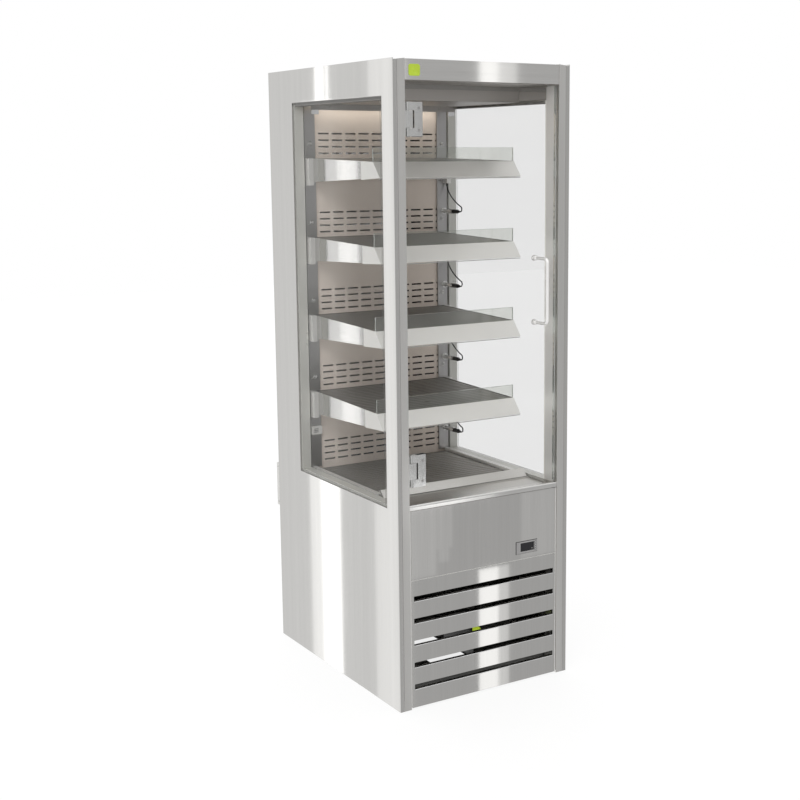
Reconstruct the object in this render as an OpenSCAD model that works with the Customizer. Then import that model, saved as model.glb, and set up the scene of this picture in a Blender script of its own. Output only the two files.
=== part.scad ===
// Heated food holding cabinet: glazed display cabinet with four heated shelves,
// a frameless glass door, a slotted rear air duct and a louvred service base.
// Millimetres, +Z up, +X to the right and +Y into the cabinet as seen from the front.
// The origin is the centre of the overall footprint, on the floor.

/* [Casing] */
// Width across the side panels
cab_w = 600; // [580:5:640]
// Depth of the casing from the front faces to the rear returns
cab_d = 800; // [790:5:840]
// Height of the side panels above the floor
cab_h = 1870; // [1860:5:1900]
// Thickness of a glazed side wall
wall_t = 38; // [36:1:40]
// Thickness of the folded steel sheet
sheet_t = 1.5; // [1.2:0.1:1.6]
// Width of the side skin's fold round the front edge
return_w = 13; // [11:1:15]

/* [Windows] */
// Distance from the front plane to the front edge of a side window
win_front = 64; // [62:1:70]
// Depth of the rear air duct behind the side windows
duct_d = 168; // [160:2:176]
// Height of a side window's lower edge
win_bottom = 601; // [598:1:604]
// Height of the casing above a side window
win_head = 100; // [98:1:104]
// Thickness of each pane of the double glazing
pane_t = 4; // [3:0.5:5]

/* [Door] */
// Thickness of the door glass
door_t = 8; // [6:1:8]
// Height of the lower hinge's centre
hinge_low_z = 714; // [700:2:760]
// Height of the upper hinge's centre
hinge_high_z = 1706; // [1680:2:1720]
// Height of each hinge
hinge_h = 94; // [90:2:110]
// Distance between the legs of the door handle
handle_c = 192; // [160:8:304]
// Diameter of the handle bar
handle_bar = 10; // [8:1:16]
// Distance from the door glass to the middle of the handle bar
handle_reach = 57; // [45:1:80]

/* [Shelves] */
// Height of the lowest shelf's front edge
shelf_first_z = 849; // [840:1:855]
// Height from one shelf to the next
shelf_pitch = 247; // [240:1:248]
// How much each shelf rises towards the back
shelf_rise = 10; // [0:1:14]
// Width of a shelf tray
shelf_w = 492; // [480:2:494]
// Height of the glass riser above the shelf's front edge
riser_h = 41; // [30:1:50]

/* [Service base] */
// Height of the line between the control panel and the grille panel
grille_top = 390; // [386:1:394]
// Number of slots in the grille panel
slot_count = 5; // [3:1:5]
// Height from one grille slot to the next
slot_pitch = 67; // [60:1:68]
// Height of one grille slot
slot_h = 16; // [10:1:18]

/* [Hidden] */
$fn = 48;
front_reach = handle_reach + handle_bar / 2 - 8;
rear_reach = 20;
front_y = -(cab_d + rear_reach + front_reach) / 2 + front_reach;
xo = cab_w / 2;
xi = xo - wall_t;
liner_x = xi - 0.3;
skin_x = xo - sheet_t;
win_rear = cab_d - duct_d;
win_top = cab_h - win_head;
panel_x = xi - 4;
panel_d = 2;
post_d = 60;
post_wall = 2;
post_tip = 4;

fascia_z = cab_h - 58;
roof_z = cab_h - 3;
ceiling_z = cab_h - 104;
header_d = 209;
soffit_from = 24;
post_slope = 7;
badge_x = [-xi + 11, -xi + 50];
badge_z = [fascia_z + 9, fascia_z + 44];
liner_top = fascia_z + 12;
liner_to = header_d + 12;
lamp_half = 236.8;
lamp_from = win_rear - 51.8;
lamp_to = win_rear - 16.2;
shield_gap = 6;
shield_drop = 18;
driver_half = 90;
driver_d = [300, 360];
upright_d = win_rear - 4;
upright_x = xi - 37;
probe_z = [717, 744];
back_d = win_rear + 2;
back_bottom = 596;

frame_z = 20;
frame_h = 40;
frame_from = 66;
frame_to = cab_d - 6;
rail_w = 34;
tube_wall = 2.5;
foot_r = 15;
foot_x = xo - 19;
foot_d = [frame_from + 30, frame_to - 30];
stem_r = 6;
plate_half = xo - sheet_t - rail_w;
plate_opening_x = [-50, 80];
plate_opening_d = [[226, 340], [381, 480]];

vent_x = [40, 200];
vent_h = 5;
box_x = [-xo + 2, -xo + 95];
box_z = [449, 593];
box_wall = 3;
rocker_x = -xo + 50;
rocker_z = 545;
rocker_d = cab_d + 14;
rocker_half = 13;
rocker_h = 23;
rocker_tilt = 8;
rocker_pin_r = 2;
gland_x = -xo + 75;
gland_d = cab_d + 11;
gland_bottom = 428;
cable_r = 4.5;

air_cols = 11;
air_rows = 4;
air_slot_len = 37;
air_slot_h = 5;
air_col_pitch = 48;
air_row_pitch = 20.5;
air_slot_z = 625;

deck_z = 605;
deck_from = 182;
pan_z = 470;
lip_top = [180, 625];
lip_toe = [159, 601.5];
lip_t = 1.5;
lip_flange = 11;
gutter_z = 600;
sill_back = 14;
sill_mid = 7.5;
sill_z = 609.5;
sill_r = 6.5;
pan_x = xi - 3;
seam = 0.1;
grid_half = 244.5;
grid_bars = 44;
grid_pitch = 10;
fan_x = 120;
fan_z = 535;
fan_half = 58;
fan_bore = 54;
hub_r = 22;
blade_tip_r = 52;
blade_count = 7;
shaft_r = 3;
running_gap = 0.05;
fan_from = win_rear - 5;
fan_depth = 38;
heater_d = 720;
heater_z = 620;
heater_half = 200;
heater_bend = 16;
heater_r = 4.2;
heater_rows = 4;

glass_front = 8;
glass_back = glass_front + door_t;
door_left = -xi + 4.5;
door_bottom = 619;
door_top = fascia_z - 3;
pivot_x = -xi + 15;
pivot_d = 12;
pin_r = 4;
knuckle_h = 47;
leaf_t = 2.5;
leaf_d = [2, 44];
clamp_left = -xi + 33;
clamp_right = -xi + 57;
clamp_front = 3;
clamp_back = 21;
arm_r = 9;
clamp_screw_x = clamp_right - 12;
clamp_screw_z = 30;
screw_r = 3;
screw_head_r = 4.5;
screw_head_t = 2.5;
handle_x = xi - 76;
handle_z = (hinge_low_z + hinge_high_z) / 2;
handle_bend = 13;
rosette_r = 7.5;

shelf_front = 213;
shelf_back = upright_d - 2;
tray_from = shelf_front + 5.5;
tray_drop_front = 47.5;
tray_drop_back = 64;
strip_toe_d = 175;
strip_toe_drop = 45.5;
strip_t = 1.2;
strip_end_back = 286;
grid_t = 2;
mat_t = 2;
lead_drop = 166;
lead_r = 2;
socket_x = 250;
socket_r = 8;
plug_r = 7;
socket_tip_d = 569;
plug_tip_d = 530;
plug_taper = 14;
lead_loop_d = 525;
lead_loop_r = 9;
lead_end = [256, 617, 91.7];
lead_sides = 8;
lead_out = [0, 30, 12];
lead_in = [0, 0, 34];
bracket_from = 600;
bracket_low = 74;

bezel_x = [111, 188];
bezel_z = [409, 446];
window_x = [126, 176];
window_z = [415, 441.5];
display_d = 3;
body_back = 62;
button_x = 181;
button_r = 2.35;
button_z = [for (i = [0:3]) 438.5 - 7.5 * i];
first_slot_z = 59;
grille_slot_z = [for (i = [0:slot_count - 1]) first_slot_z + i * slot_pitch];

control_x = [84, 250];
control_d = [206, 380];
control_top = 110;
terminal_x = [80, 102];
terminal_z = [94, 124];

steel = [0.72, 0.72, 0.70];
bright = [0.82, 0.82, 0.81];
dark_steel = [0.42, 0.41, 0.39];
beige = [0.66, 0.61, 0.55];
glass = [0.75, 0.80, 0.78, 0.35];
charcoal = [0.22, 0.21, 0.20];
black = [0.06, 0.06, 0.06];
lime = [0.62, 0.76, 0.18];
white = [0.90, 0.90, 0.88];

// ---------- helpers ----------

// Y of a point that lies d behind the front plane
function fy(d) = front_y + d;

// Height of the front edge of shelf k, counted from the lowest
function shelf_z(k) = shelf_first_z + k * shelf_pitch;

// Height of a shelf's top surface at distance d behind the front plane
function shelf_top(k, d) = shelf_z(k) + (d - shelf_front) * shelf_rise / (shelf_back - shelf_front);

// Block from x0 to x1, from d0 to d1 behind the front plane, and from z0 to z1
module slab(x0, x1, d0, d1, z0, z1)
    translate([x0, fy(d0), z0]) cube([x1 - x0, d1 - d0, z1 - z0]);

// Round bar along X, Y or Z that starts at [x, d, z]
module bar_x(x0, x1, d, z, r) translate([x0, fy(d), z]) rotate([0, 90, 0]) cylinder(r = r, h = x1 - x0);
module bar_y(x, d0, d1, z, r) translate([x, fy(d0), z]) rotate([-90, 0, 0]) cylinder(r = r, h = d1 - d0);
module bar_z(x, d, z0, z1, r) translate([x, fy(d), z0]) cylinder(r = r, h = z1 - z0);

// Prism whose outline is a list of [d, z] points, from x0 to x1
module side_prism(x0, x1, outline)
    translate([x0, front_y, 0]) rotate([90, 0, 90]) linear_extrude(x1 - x0) polygon(outline);

// The child and its mirror image in the middle plane
module both_sides() {
    children();
    mirror([1, 0, 0]) children();
}

// ---------- frame and casing ----------

// Rails of the frame, or their hollow cores where inset is the tube's wall
module frame_rails(inset) {
    z0 = frame_z + inset;
    z1 = frame_z + frame_h - inset;
    both_sides() slab(-skin_x + inset, -skin_x + rail_w - inset, frame_from + inset, frame_to - inset, z0, z1);
    for (d = [frame_from, frame_to - rail_w])
        slab(-plate_half, plate_half, d + inset, d + rail_w - inset, z0, z1);
}

module base_frame() color(dark_steel) difference() {
    frame_rails(0);
    frame_rails(tube_wall);
    both_sides() for (d = foot_d) bar_z(-foot_x, d, frame_z - 1, frame_z + frame_h + 1, stem_r + 0.1);
}

module base_plate() color(dark_steel) difference() {
    slab(-plate_half, plate_half, frame_from + rail_w, frame_to - rail_w, frame_z, frame_z + sheet_t);
    for (d = plate_opening_d)
        slab(plate_opening_x[0], plate_opening_x[1], d[0], d[1], frame_z - 1, frame_z + sheet_t + 1);
}

module levelling_feet() color(charcoal) both_sides() for (d = foot_d) {
    bar_z(-foot_x, d, 0, 8, foot_r);
    bar_z(-foot_x, d, 8, frame_z + frame_h + 6, stem_r);
    translate([-foot_x, fy(d), 12]) cylinder(r = 10, h = 8, $fn = 6);
}

module side_panel() color(steel) {
    difference() {
        slab(-xo, -skin_x, 0, cab_d, 0, cab_h);
        slab(-xo - 1, -skin_x + 1, win_front, win_rear, win_bottom, win_top);
    }
    slab(-skin_x, -xo + return_w, 0, sheet_t, 0, cab_h - post_tip);
    slab(-skin_x, -xo + 28, cab_d - sheet_t, cab_d, 0, cab_h);
    slab(-skin_x, -xo + 20, post_d + 2, cab_d - sheet_t, cab_h - sheet_t, cab_h);
    difference() {
        slab(-skin_x, -xi, win_front - sheet_t, win_rear + sheet_t, win_bottom - sheet_t, win_top + sheet_t);
        slab(-skin_x - 1, -xi + 1, win_front, win_rear, win_bottom, win_top);
    }
    slab(-xi - sheet_t, -xi, post_d + 0.5, liner_to, win_top + sheet_t, liner_top);
    slab(-xi - sheet_t, -xi, post_d + 0.5, win_front - sheet_t, win_bottom - sheet_t, win_top + sheet_t);
}

module left_side_panel() side_panel();
module right_side_panel() mirror([1, 0, 0]) side_panel();

module front_post() color(steel) {
    left = -xo + return_w + 0.4;
    difference() {
        slab(left, -xi, 0, post_d, 0, cab_h);
        slab(left + post_wall, -xi - post_wall, post_wall, post_d - post_wall, -1, cab_h - 3 * post_wall);
        translate([-xi, fy(-1), cab_h]) rotate([0, -post_slope, 0]) translate([-60, 0, 0]) cube([60, post_d + 2, 10]);
    }
}

module left_front_post() front_post();
module right_front_post() mirror([1, 0, 0]) front_post();

module roof_panel() color(steel) {
    slab(-skin_x, skin_x, win_front, cab_d - 3, roof_z, roof_z + sheet_t);
    slab(-liner_x, liner_x, soffit_from, win_front, roof_z, roof_z + sheet_t);
    both_sides() slab(-skin_x, -skin_x + sheet_t, win_front, cab_d - 3, roof_z - 12, roof_z);
}

module top_fascia() color(steel) {
    slab(-liner_x, liner_x, 1, 1 + sheet_t, fascia_z, roof_z + sheet_t);
    slab(-liner_x, liner_x, 1 + sheet_t, soffit_from, fascia_z, fascia_z + sheet_t);
    slab(-liner_x, liner_x, 1 + sheet_t, soffit_from, roof_z, roof_z + sheet_t);
}

module fascia_badge() color(lime)
    slab(badge_x[0], badge_x[1], -0.6, 1, badge_z[0], badge_z[1]);

module ceiling_panel() color(dark_steel) {
    slab(-liner_x, liner_x, soffit_from, header_d, fascia_z, fascia_z + sheet_t);
    slab(-liner_x, liner_x, header_d, header_d + sheet_t, ceiling_z, fascia_z + sheet_t);
    difference() {
        slab(-liner_x, liner_x, header_d + sheet_t, back_d, ceiling_z, ceiling_z + sheet_t);
        slab(-lamp_half - 0.2, lamp_half + 0.2, lamp_from - 0.2, lamp_to + 0.2, ceiling_z - 1, ceiling_z + 3);
    }
    slab(-liner_x, liner_x, lamp_from - shield_gap, lamp_from - shield_gap + sheet_t,
        ceiling_z - shield_drop, ceiling_z);
}

module lamp_diffuser() color(white) {
    slab(-lamp_half, lamp_half, lamp_from, lamp_to, ceiling_z - 2, ceiling_z + 3);
    slab(-lamp_half + 7, lamp_half - 7, lamp_from + 6, lamp_to - 6, ceiling_z + 3, ceiling_z + 14);
}

module led_driver() color(white) {
    slab(-driver_half, driver_half, driver_d[0], driver_d[1], ceiling_z + sheet_t, ceiling_z + 30);
    both_sides() slab(-driver_half - 14, -driver_half, driver_d[0] + 10, driver_d[1] - 10,
        ceiling_z + sheet_t, ceiling_z + 4);
}

// Row of narrow air slots cut through the rear of the casing
module rear_slots(count, z0, pitch) {
    for (i = [0:count - 1]) both_sides()
        slab(vent_x[0], vent_x[1], cab_d - 4, cab_d, z0 + i * pitch, z0 + i * pitch + vent_h);
}

module rear_panel() color(steel) difference() {
    slab(-skin_x, skin_x, cab_d - 3, cab_d - sheet_t, 464, roof_z - 0.5);
    rear_slots(5, 1700, 22);
}

module rear_service_cover() color(steel) difference() {
    union() {
        slab(-skin_x, skin_x, cab_d - 3, cab_d - sheet_t, 24, 462);
        slab(-skin_x + 30, skin_x - 30, cab_d - 4.5, cab_d - 3, 440, 476);
    }
    rear_slots(8, 130, 26);
}

module inlet_box() color(charcoal) difference() {
    union() {
        difference() {
            slab(box_x[0], box_x[1], cab_d, cab_d + rear_reach, box_z[0], box_z[1]);
            slab(box_x[0] + box_wall, box_x[1] - box_wall, cab_d - 1, cab_d + rear_reach - box_wall,
                box_z[0] + box_wall, box_z[1] - box_wall);
        }
        slab(rocker_x - rocker_half - 6, rocker_x + rocker_half + 6, rocker_d - 6,
            cab_d + rear_reach - box_wall, rocker_z - rocker_h / 2 - 6, rocker_z + rocker_h / 2 + 6);
    }
    slab(rocker_x - rocker_half - 1, rocker_x + rocker_half + 1, rocker_d - 4, cab_d + rear_reach + 1,
        rocker_z - rocker_h / 2 - 1.5, rocker_z + rocker_h / 2 + 1.5);
    bar_x(rocker_x - rocker_half - 5, rocker_x + rocker_half + 5, rocker_d, rocker_z,
        rocker_pin_r + running_gap);
    bar_z(gland_x, gland_d, box_z[0] - 1, box_z[0] + box_wall + 1, cable_r);
}

module mains_switch() color(black)
    translate([rocker_x, fy(rocker_d), rocker_z]) rotate([rocker_tilt, 0, 0]) {
        translate([-rocker_half, -2, -rocker_h / 2]) cube([2 * rocker_half, 6.2, rocker_h]);
        translate([-rocker_half - 4.5, 0, 0]) rotate([0, 90, 0])
            cylinder(r = rocker_pin_r, h = 2 * rocker_half + 9);
    }

module inlet_gland() color(black) difference() {
    union() {
        translate([gland_x, fy(gland_d), box_z[0] - 9]) cylinder(r = 10, h = 9, $fn = 6);
        bar_z(gland_x, gland_d, gland_bottom, box_z[0] - 9, 8);
    }
    bar_z(gland_x, gland_d, gland_bottom - 1, box_z[0] + 1, cable_r);
}

// ---------- side glazing ----------

module glazing() color(glass) {
    slab(-xo + 0.5, -xo + 0.5 + pane_t, win_front, win_rear, win_bottom, win_top);
    slab(-xi - pane_t, -xi, win_front, win_rear, win_bottom, win_top);
}

module left_glazing() glazing();
module right_glazing() mirror([1, 0, 0]) glazing();

module glazing_spacers() color(bright) both_sides() difference() {
    slab(-xo + 0.5 + pane_t, -xi - pane_t, win_front, win_rear, win_bottom, win_top);
    slab(-xo, -xi, win_front + 9, win_rear - 9, win_bottom + 9, win_top - 9);
}

// ---------- back wall of the food space ----------

module back_panel() color(beige) difference() {
    slab(-liner_x, liner_x, back_d, back_d + sheet_t, back_bottom, ceiling_z);
    for (g = [0:4]) for (r = [0:air_rows - 1]) for (c = [0:air_cols - 1]) {
        x = (c - (air_cols - 1) / 2) * air_col_pitch;
        z = air_slot_z + g * shelf_pitch + r * air_row_pitch;
        slab(x - air_slot_len / 2, x + air_slot_len / 2, back_d - 1, back_d + 3, z, z + air_slot_h);
    }
}

module shelf_uprights() color(dark_steel) both_sides() {
    slab(-liner_x, -upright_x, upright_d, upright_d + sheet_t, deck_z + 4, ceiling_z);
    for (x = [-liner_x, -upright_x - sheet_t])
        slab(x, x + sheet_t, upright_d + sheet_t, back_d, deck_z + 4, ceiling_z);
}

module probe_housing() color(white)
    slab(-liner_x, -upright_x - 1, upright_d - 9, upright_d, probe_z[0], probe_z[1]);

// ---------- deck, sill and front panels ----------

module deck_pan() color(steel) {
    floor_top = pan_z + sheet_t;
    skirt_z = floor_top + seam;
    skirt_top = deck_z - 5 - seam;
    slab(-pan_x, pan_x, deck_from, back_d, pan_z, floor_top);
    slab(-skin_x, skin_x, back_d, cab_d - 5, pan_z, floor_top);
    slab(-pan_x, pan_x, deck_from, deck_from + sheet_t, skirt_z, skirt_top);
    both_sides() slab(-pan_x, -pan_x + sheet_t, deck_from + sheet_t + seam, fan_from - sheet_t - seam,
        skirt_z, skirt_top);
    hole_z = [fan_z - fan_bore, fan_z + fan_bore];
    slab(-pan_x, pan_x, fan_from - sheet_t, fan_from, skirt_z, hole_z[0] - seam);
    slab(-pan_x, pan_x, fan_from - sheet_t, fan_from, hole_z[1] + seam, back_bottom);
    slab(-fan_x + fan_bore, fan_x - fan_bore, fan_from - sheet_t, fan_from, hole_z[0], hole_z[1]);
    both_sides() slab(-pan_x, -fan_x - fan_bore, fan_from - sheet_t, fan_from, hole_z[0], hole_z[1]);
    both_sides() slab(-liner_x, -grid_half - 0.5, deck_from + 2, upright_d - 2, deck_z - 5, deck_z + 7);
}

module deck_grid() color(charcoal) {
    slab(-grid_half, grid_half, deck_from + 3, fan_from - 5, deck_z - 5, deck_z - 3);
    for (i = [0:grid_bars - 1]) {
        d = deck_from + 6 + grid_pitch * i;
        slab(-grid_half, grid_half, d, d + 3, deck_z - 3, deck_z);
    }
}

module deck_lip() color(bright)
    side_prism(-liner_x, liner_x, [lip_top, lip_toe, [lip_toe[0] - lip_flange, lip_toe[1]],
        [lip_toe[0] - lip_flange, gutter_z], [lip_toe[0] + 1, gutter_z],
        [lip_top[0] + lip_t + 0.1, lip_top[1] - 0.8]]);

module sill() color(bright) {
    slab(-liner_x, liner_x, sill_mid - sill_r, sill_back, gutter_z, sill_z);
    bar_x(-liner_x, liner_x, sill_mid, sill_z, sill_r);
    slab(-liner_x, liner_x, sill_back, deck_from, gutter_z - sheet_t, gutter_z);
}

// Sheet panel with folded edges, from z0 to z1 on the front of the service base
module folded_panel(z0, z1) {
    slab(-panel_x, panel_x, panel_d, panel_d + sheet_t, z0, z1);
    both_sides() slab(-panel_x, -panel_x + sheet_t, panel_d + sheet_t, panel_d + 16, z0, z1);
    for (z = [z0, z1 - sheet_t])
        slab(-panel_x + sheet_t, panel_x - sheet_t, panel_d + sheet_t, panel_d + 16, z, z + sheet_t);
}

module lower_front_panel() color(steel) difference() {
    folded_panel(grille_top + 1.5, 598);
    slab(bezel_x[0] + 3, bezel_x[1] - 3, 0, panel_d + 5, bezel_z[0] + 4, bezel_z[1] - 4);
}

module grille_panel() color(steel) {
    difference() {
        folded_panel(4, grille_top);
        for (z = grille_slot_z) slab(-panel_x + 8, panel_x - 8, 0, panel_d + 5, z, z + slot_h);
    }
    for (z = grille_slot_z)
        slab(-panel_x + 8, panel_x - 8, panel_d + sheet_t, panel_d + 14, z - sheet_t, z);
}

// ---------- temperature controller ----------

module controller_housing() color(steel) difference() {
    union() {
        slab(bezel_x[0], bezel_x[1], 0, panel_d, bezel_z[0], bezel_z[1]);
        slab(bezel_x[0] + 3.2, bezel_x[1] - 3.2, panel_d, body_back, bezel_z[0] + 4.2, bezel_z[1] - 4.2);
    }
    slab(window_x[0], window_x[1], -1, display_d + 1, window_z[0], window_z[1]);
    slab(bezel_x[0] + 5, bezel_x[1] - 5, 9, body_back + 1, bezel_z[0] + 6, bezel_z[1] - 6);
    for (z = button_z) bar_y(button_x, -1, 7, z, button_r + running_gap);
}

module controller_display() color(black)
    slab(window_x[0] + 0.2, window_x[1] - 0.2, display_d, display_d + 1, window_z[0] + 0.2,
        window_z[1] - 0.2);

module controller_button(i) color(bright) bar_y(button_x, -1, 5, button_z[i], button_r);
module controller_button_1() controller_button(0);
module controller_button_2() controller_button(1);
module controller_button_3() controller_button(2);
module controller_button_4() controller_button(3);

// ---------- door ----------

module door_glass() color(glass) difference() {
    slab(door_left, xi - 4, glass_front, glass_back, door_bottom, door_top);
    for (z = [hinge_low_z, hinge_high_z]) {
        slab(door_left - 1, clamp_left - 2, 0, 30, z - hinge_h / 2 - 2, z + hinge_h / 2 + 2);
        for (s = [-1, 1]) bar_y(clamp_screw_x, 0, 30, z + s * clamp_screw_z, screw_r + 2);
    }
    for (s = [-1, 1]) bar_y(handle_x, 0, 30, handle_z + s * handle_c / 2, 6);
}

// Clamp that grips the glass, with an arm over and under the fixed knuckle
module hinge_clamp(z) color(bright) difference() {
    union() {
        for (d = [[clamp_front, glass_front], [glass_back, clamp_back]])
            slab(clamp_left - 2, clamp_right, d[0], d[1], z - hinge_h / 2, z + hinge_h / 2);
        for (s = [-1, 1]) {
            mid = z + s * (hinge_h / 2 + knuckle_h / 2 + 0.5) / 2;
            half = (hinge_h - knuckle_h - 1) / 4;
            slab(pivot_x, clamp_left - 2, clamp_front, clamp_back, mid - half, mid + half);
            bar_z(pivot_x, pivot_d, mid - half, mid + half, arm_r);
        }
    }
    bar_z(pivot_x, pivot_d, z - hinge_h, z + hinge_h, pin_r + running_gap);
    for (s = [-1, 1]) {
        bar_y(clamp_screw_x, 0, 30, z + s * clamp_screw_z, screw_r + 0.1);
        bar_y(clamp_screw_x, 0, clamp_front + screw_head_t, z + s * clamp_screw_z, screw_head_r + 0.1);
    }
}

module top_hinge_clamp() hinge_clamp(hinge_high_z);
module bottom_hinge_clamp() hinge_clamp(hinge_low_z);

// Fixed leaf on the post: wall plate, knuckle and the pin through it
module hinge_leaf(z) {
    slab(-xi, -xi + leaf_t, leaf_d[0], leaf_d[1], z - hinge_h / 2 + 1, z + hinge_h / 2 - 1);
    slab(-xi + leaf_t, pivot_x + 11, clamp_front, clamp_back, z - knuckle_h / 2, z + knuckle_h / 2);
    bar_z(pivot_x, pivot_d, z - hinge_h / 2 + 3, z + hinge_h / 2 - 3, pin_r);
}

module hinge_leaves() color(bright) for (z = [hinge_low_z, hinge_high_z]) hinge_leaf(z);

module door_fixings() color(bright) {
    for (z = [hinge_low_z, hinge_high_z]) for (s = [-1, 1]) difference() {
        union() {
            bar_y(clamp_screw_x, clamp_front + 0.4, clamp_front + screw_head_t, z + s * clamp_screw_z,
                screw_head_r);
            bar_y(clamp_screw_x, clamp_front + screw_head_t, clamp_back - 1, z + s * clamp_screw_z, screw_r);
        }
        translate([clamp_screw_x, fy(0), z + s * clamp_screw_z]) rotate([-90, 0, 0])
            cylinder(r = 2, h = clamp_front + screw_head_t - 0.6, $fn = 6);
    }
    for (s = [-1, 1]) {
        z = handle_z + s * handle_c / 2;
        bar_y(handle_x, glass_front - 2, glass_front, z, rosette_r);
        bar_y(handle_x, glass_front, glass_back, z, 4);
        bar_y(handle_x, glass_back, glass_back + 3, z, rosette_r + 1.5);
        bar_y(handle_x, glass_back + 3, glass_back + 8, z, rosette_r - 2);
    }
}

module door_handle() color(bright) {
    bar_d = glass_front - handle_reach;
    half = handle_c / 2;
    bar_z(handle_x, bar_d, handle_z - half + handle_bend, handle_z + half - handle_bend, handle_bar / 2);
    for (s = [-1, 1]) {
        bar_y(handle_x, bar_d + handle_bend, glass_front - 2, handle_z + s * half, handle_bar / 2);
        translate([handle_x, fy(bar_d + handle_bend), handle_z + s * (half - handle_bend)])
            rotate([0, -90, 0]) rotate([0, 0, s > 0 ? -90 : 180])
                rotate_extrude(angle = 90) translate([handle_bend, 0]) circle(r = handle_bar / 2);
    }
}

// ---------- air circulation and heating ----------

module fan_frames() color(charcoal) both_sides() {
    difference() {
        slab(-fan_x - fan_half, -fan_x + fan_half, fan_from, fan_from + fan_depth,
            fan_z - fan_half, fan_z + fan_half);
        bar_y(-fan_x, fan_from - 1, fan_from + fan_depth + 1, fan_z, fan_bore);
    }
    bar_y(-fan_x, fan_from + fan_depth - 12, fan_from + fan_depth, fan_z, hub_r - 2);
    bar_y(-fan_x, fan_from + 6, fan_from + fan_depth - 12, fan_z, shaft_r);
    for (a = [45:90:315]) translate([-fan_x, fy(fan_from + fan_depth - 6), fan_z]) rotate([0, a, 0])
        translate([hub_r - 4, 0, -3]) cube([fan_bore - hub_r + 6, 5, 6]);
}

module fan_rotor(x) color(black) translate([x, fy(fan_from + 5), fan_z]) rotate([-90, 0, 0]) {
    difference() {
        union() {
            cylinder(r = hub_r, h = 19);
            for (i = [0:blade_count - 1]) rotate([0, 0, i * 360 / blade_count])
                translate([hub_r - 2, 0, 9.5]) rotate([32, 0, 0])
                    translate([0, -13, -1]) cube([blade_tip_r - hub_r, 26, 2]);
        }
        translate([0, 0, -1]) cylinder(r = shaft_r + running_gap, h = 22);
    }
}

module left_fan_rotor() fan_rotor(-fan_x);
module right_fan_rotor() fan_rotor(fan_x);

// Tube bent to and fro across the air duct, on two hangers from the rear wall
module heater_element() color(dark_steel) {
    pitch = 2 * heater_bend;
    top = heater_z + (heater_rows - 1) * pitch;
    for (i = [0:heater_rows - 1]) bar_x(-heater_half, heater_half, heater_d, heater_z + i * pitch, heater_r);
    for (i = [0:heater_rows - 2])
        translate([i % 2 == 0 ? heater_half : -heater_half, fy(heater_d), heater_z + heater_bend + i * pitch])
            rotate([90, 0, 0]) rotate([0, 0, i % 2 == 0 ? -90 : 90])
                rotate_extrude(angle = 180) translate([heater_bend, 0]) circle(r = heater_r);
    both_sides() slab(-heater_half + 28, -heater_half + 30, heater_d - 8, cab_d - 3, heater_z - 10, top + 10);
}

// ---------- electrics in the service base ----------

module control_box() color(charcoal) {
    slab(control_x[0], control_x[1], control_d[0], control_d[1], frame_z + sheet_t, control_top);
    slab(control_x[0], control_x[1], control_d[0] - 6, control_d[0], frame_z + 10, control_top - 4);
}

module terminal_cover() color(lime)
    slab(terminal_x[0], terminal_x[1], control_d[0] - 16, control_d[0] - 6, terminal_z[0], terminal_z[1]);

// ---------- shelves ----------

module shelf_tray(k) color(steel) {
    top_front = shelf_top(k, tray_from);
    top_back = shelf_top(k, shelf_back);
    low_front = shelf_z(k) - tray_drop_front;
    low_back = shelf_z(k) - tray_drop_back;
    half = shelf_w / 2;
    difference() {
        side_prism(-half, half, [[tray_from, top_front], [shelf_back, top_back],
            [shelf_back, low_back], [tray_from, low_front]]);
        side_prism(-half + sheet_t, half - sheet_t, [[tray_from + sheet_t, top_front + 1],
            [shelf_back - sheet_t, top_back + 1], [shelf_back - sheet_t, low_back + sheet_t],
            [tray_from + sheet_t, low_front + sheet_t]]);
    }
    // Ledge that carries the grid
    difference() {
        sloped_plate(k, half - sheet_t, sheet_t, grid_t + 2, grid_t + 0.5);
        sloped_plate(k, half - 10, 10, grid_t + 4, grid_t - 1);
    }
}

// Plate parallel to shelf k's surface, inset from the tray's outline and lying between two depths
module sloped_plate(k, half, inset, low, high) {
    d0 = tray_from + inset;
    d1 = shelf_back - inset;
    side_prism(-half, half, [[d0, shelf_top(k, d0) - high], [d1, shelf_top(k, d1) - high],
        [d1, shelf_top(k, d1) - low], [d0, shelf_top(k, d0) - low]]);
}

module shelf_1() shelf_tray(0);
module shelf_2() shelf_tray(1);
module shelf_3() shelf_tray(2);
module shelf_4() shelf_tray(3);

module shelf_grids() color(charcoal)
    for (k = [0:3]) sloped_plate(k, shelf_w / 2 - sheet_t - 0.2, sheet_t + 0.2, grid_t + 0.4, 0.4);

module shelf_heaters() color(charcoal)
    for (k = [0:3]) sloped_plate(k, shelf_w / 2 - 3, 3, grid_t + 2.1 + mat_t, grid_t + 2.1);

module shelf_risers() color(glass) for (k = [0:3])
    slab(-shelf_w / 2, shelf_w / 2, shelf_front + 1.2, shelf_front + 5.2, shelf_z(k) - 14,
        shelf_z(k) + riser_h);

module ticket_strips() color(bright) for (k = [0:3]) {
    z = shelf_z(k);
    toe = z - strip_toe_drop;
    half = shelf_w / 2 + 1.6;
    side_prism(-half, half, [[shelf_front, z], [strip_toe_d, toe], [strip_toe_d, toe - strip_t],
        [tray_from - 0.3, toe - 2 - strip_t], [tray_from - 0.3, toe - 2], [strip_toe_d + 2, toe],
        [shelf_front + 1, z - 2]]);
    both_sides() side_prism(-half, -half + 1.4, [[shelf_front, z],
        [strip_end_back, shelf_top(k, strip_end_back)], [strip_end_back, z - 53],
        [strip_toe_d, toe - strip_t]]);
}

module shelf_brackets() color(bright) both_sides() for (k = [0:3])
    slab(-liner_x + 0.2, -shelf_w / 2, bracket_from, upright_d, shelf_z(k) - bracket_low,
        shelf_z(k) + shelf_rise);

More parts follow.
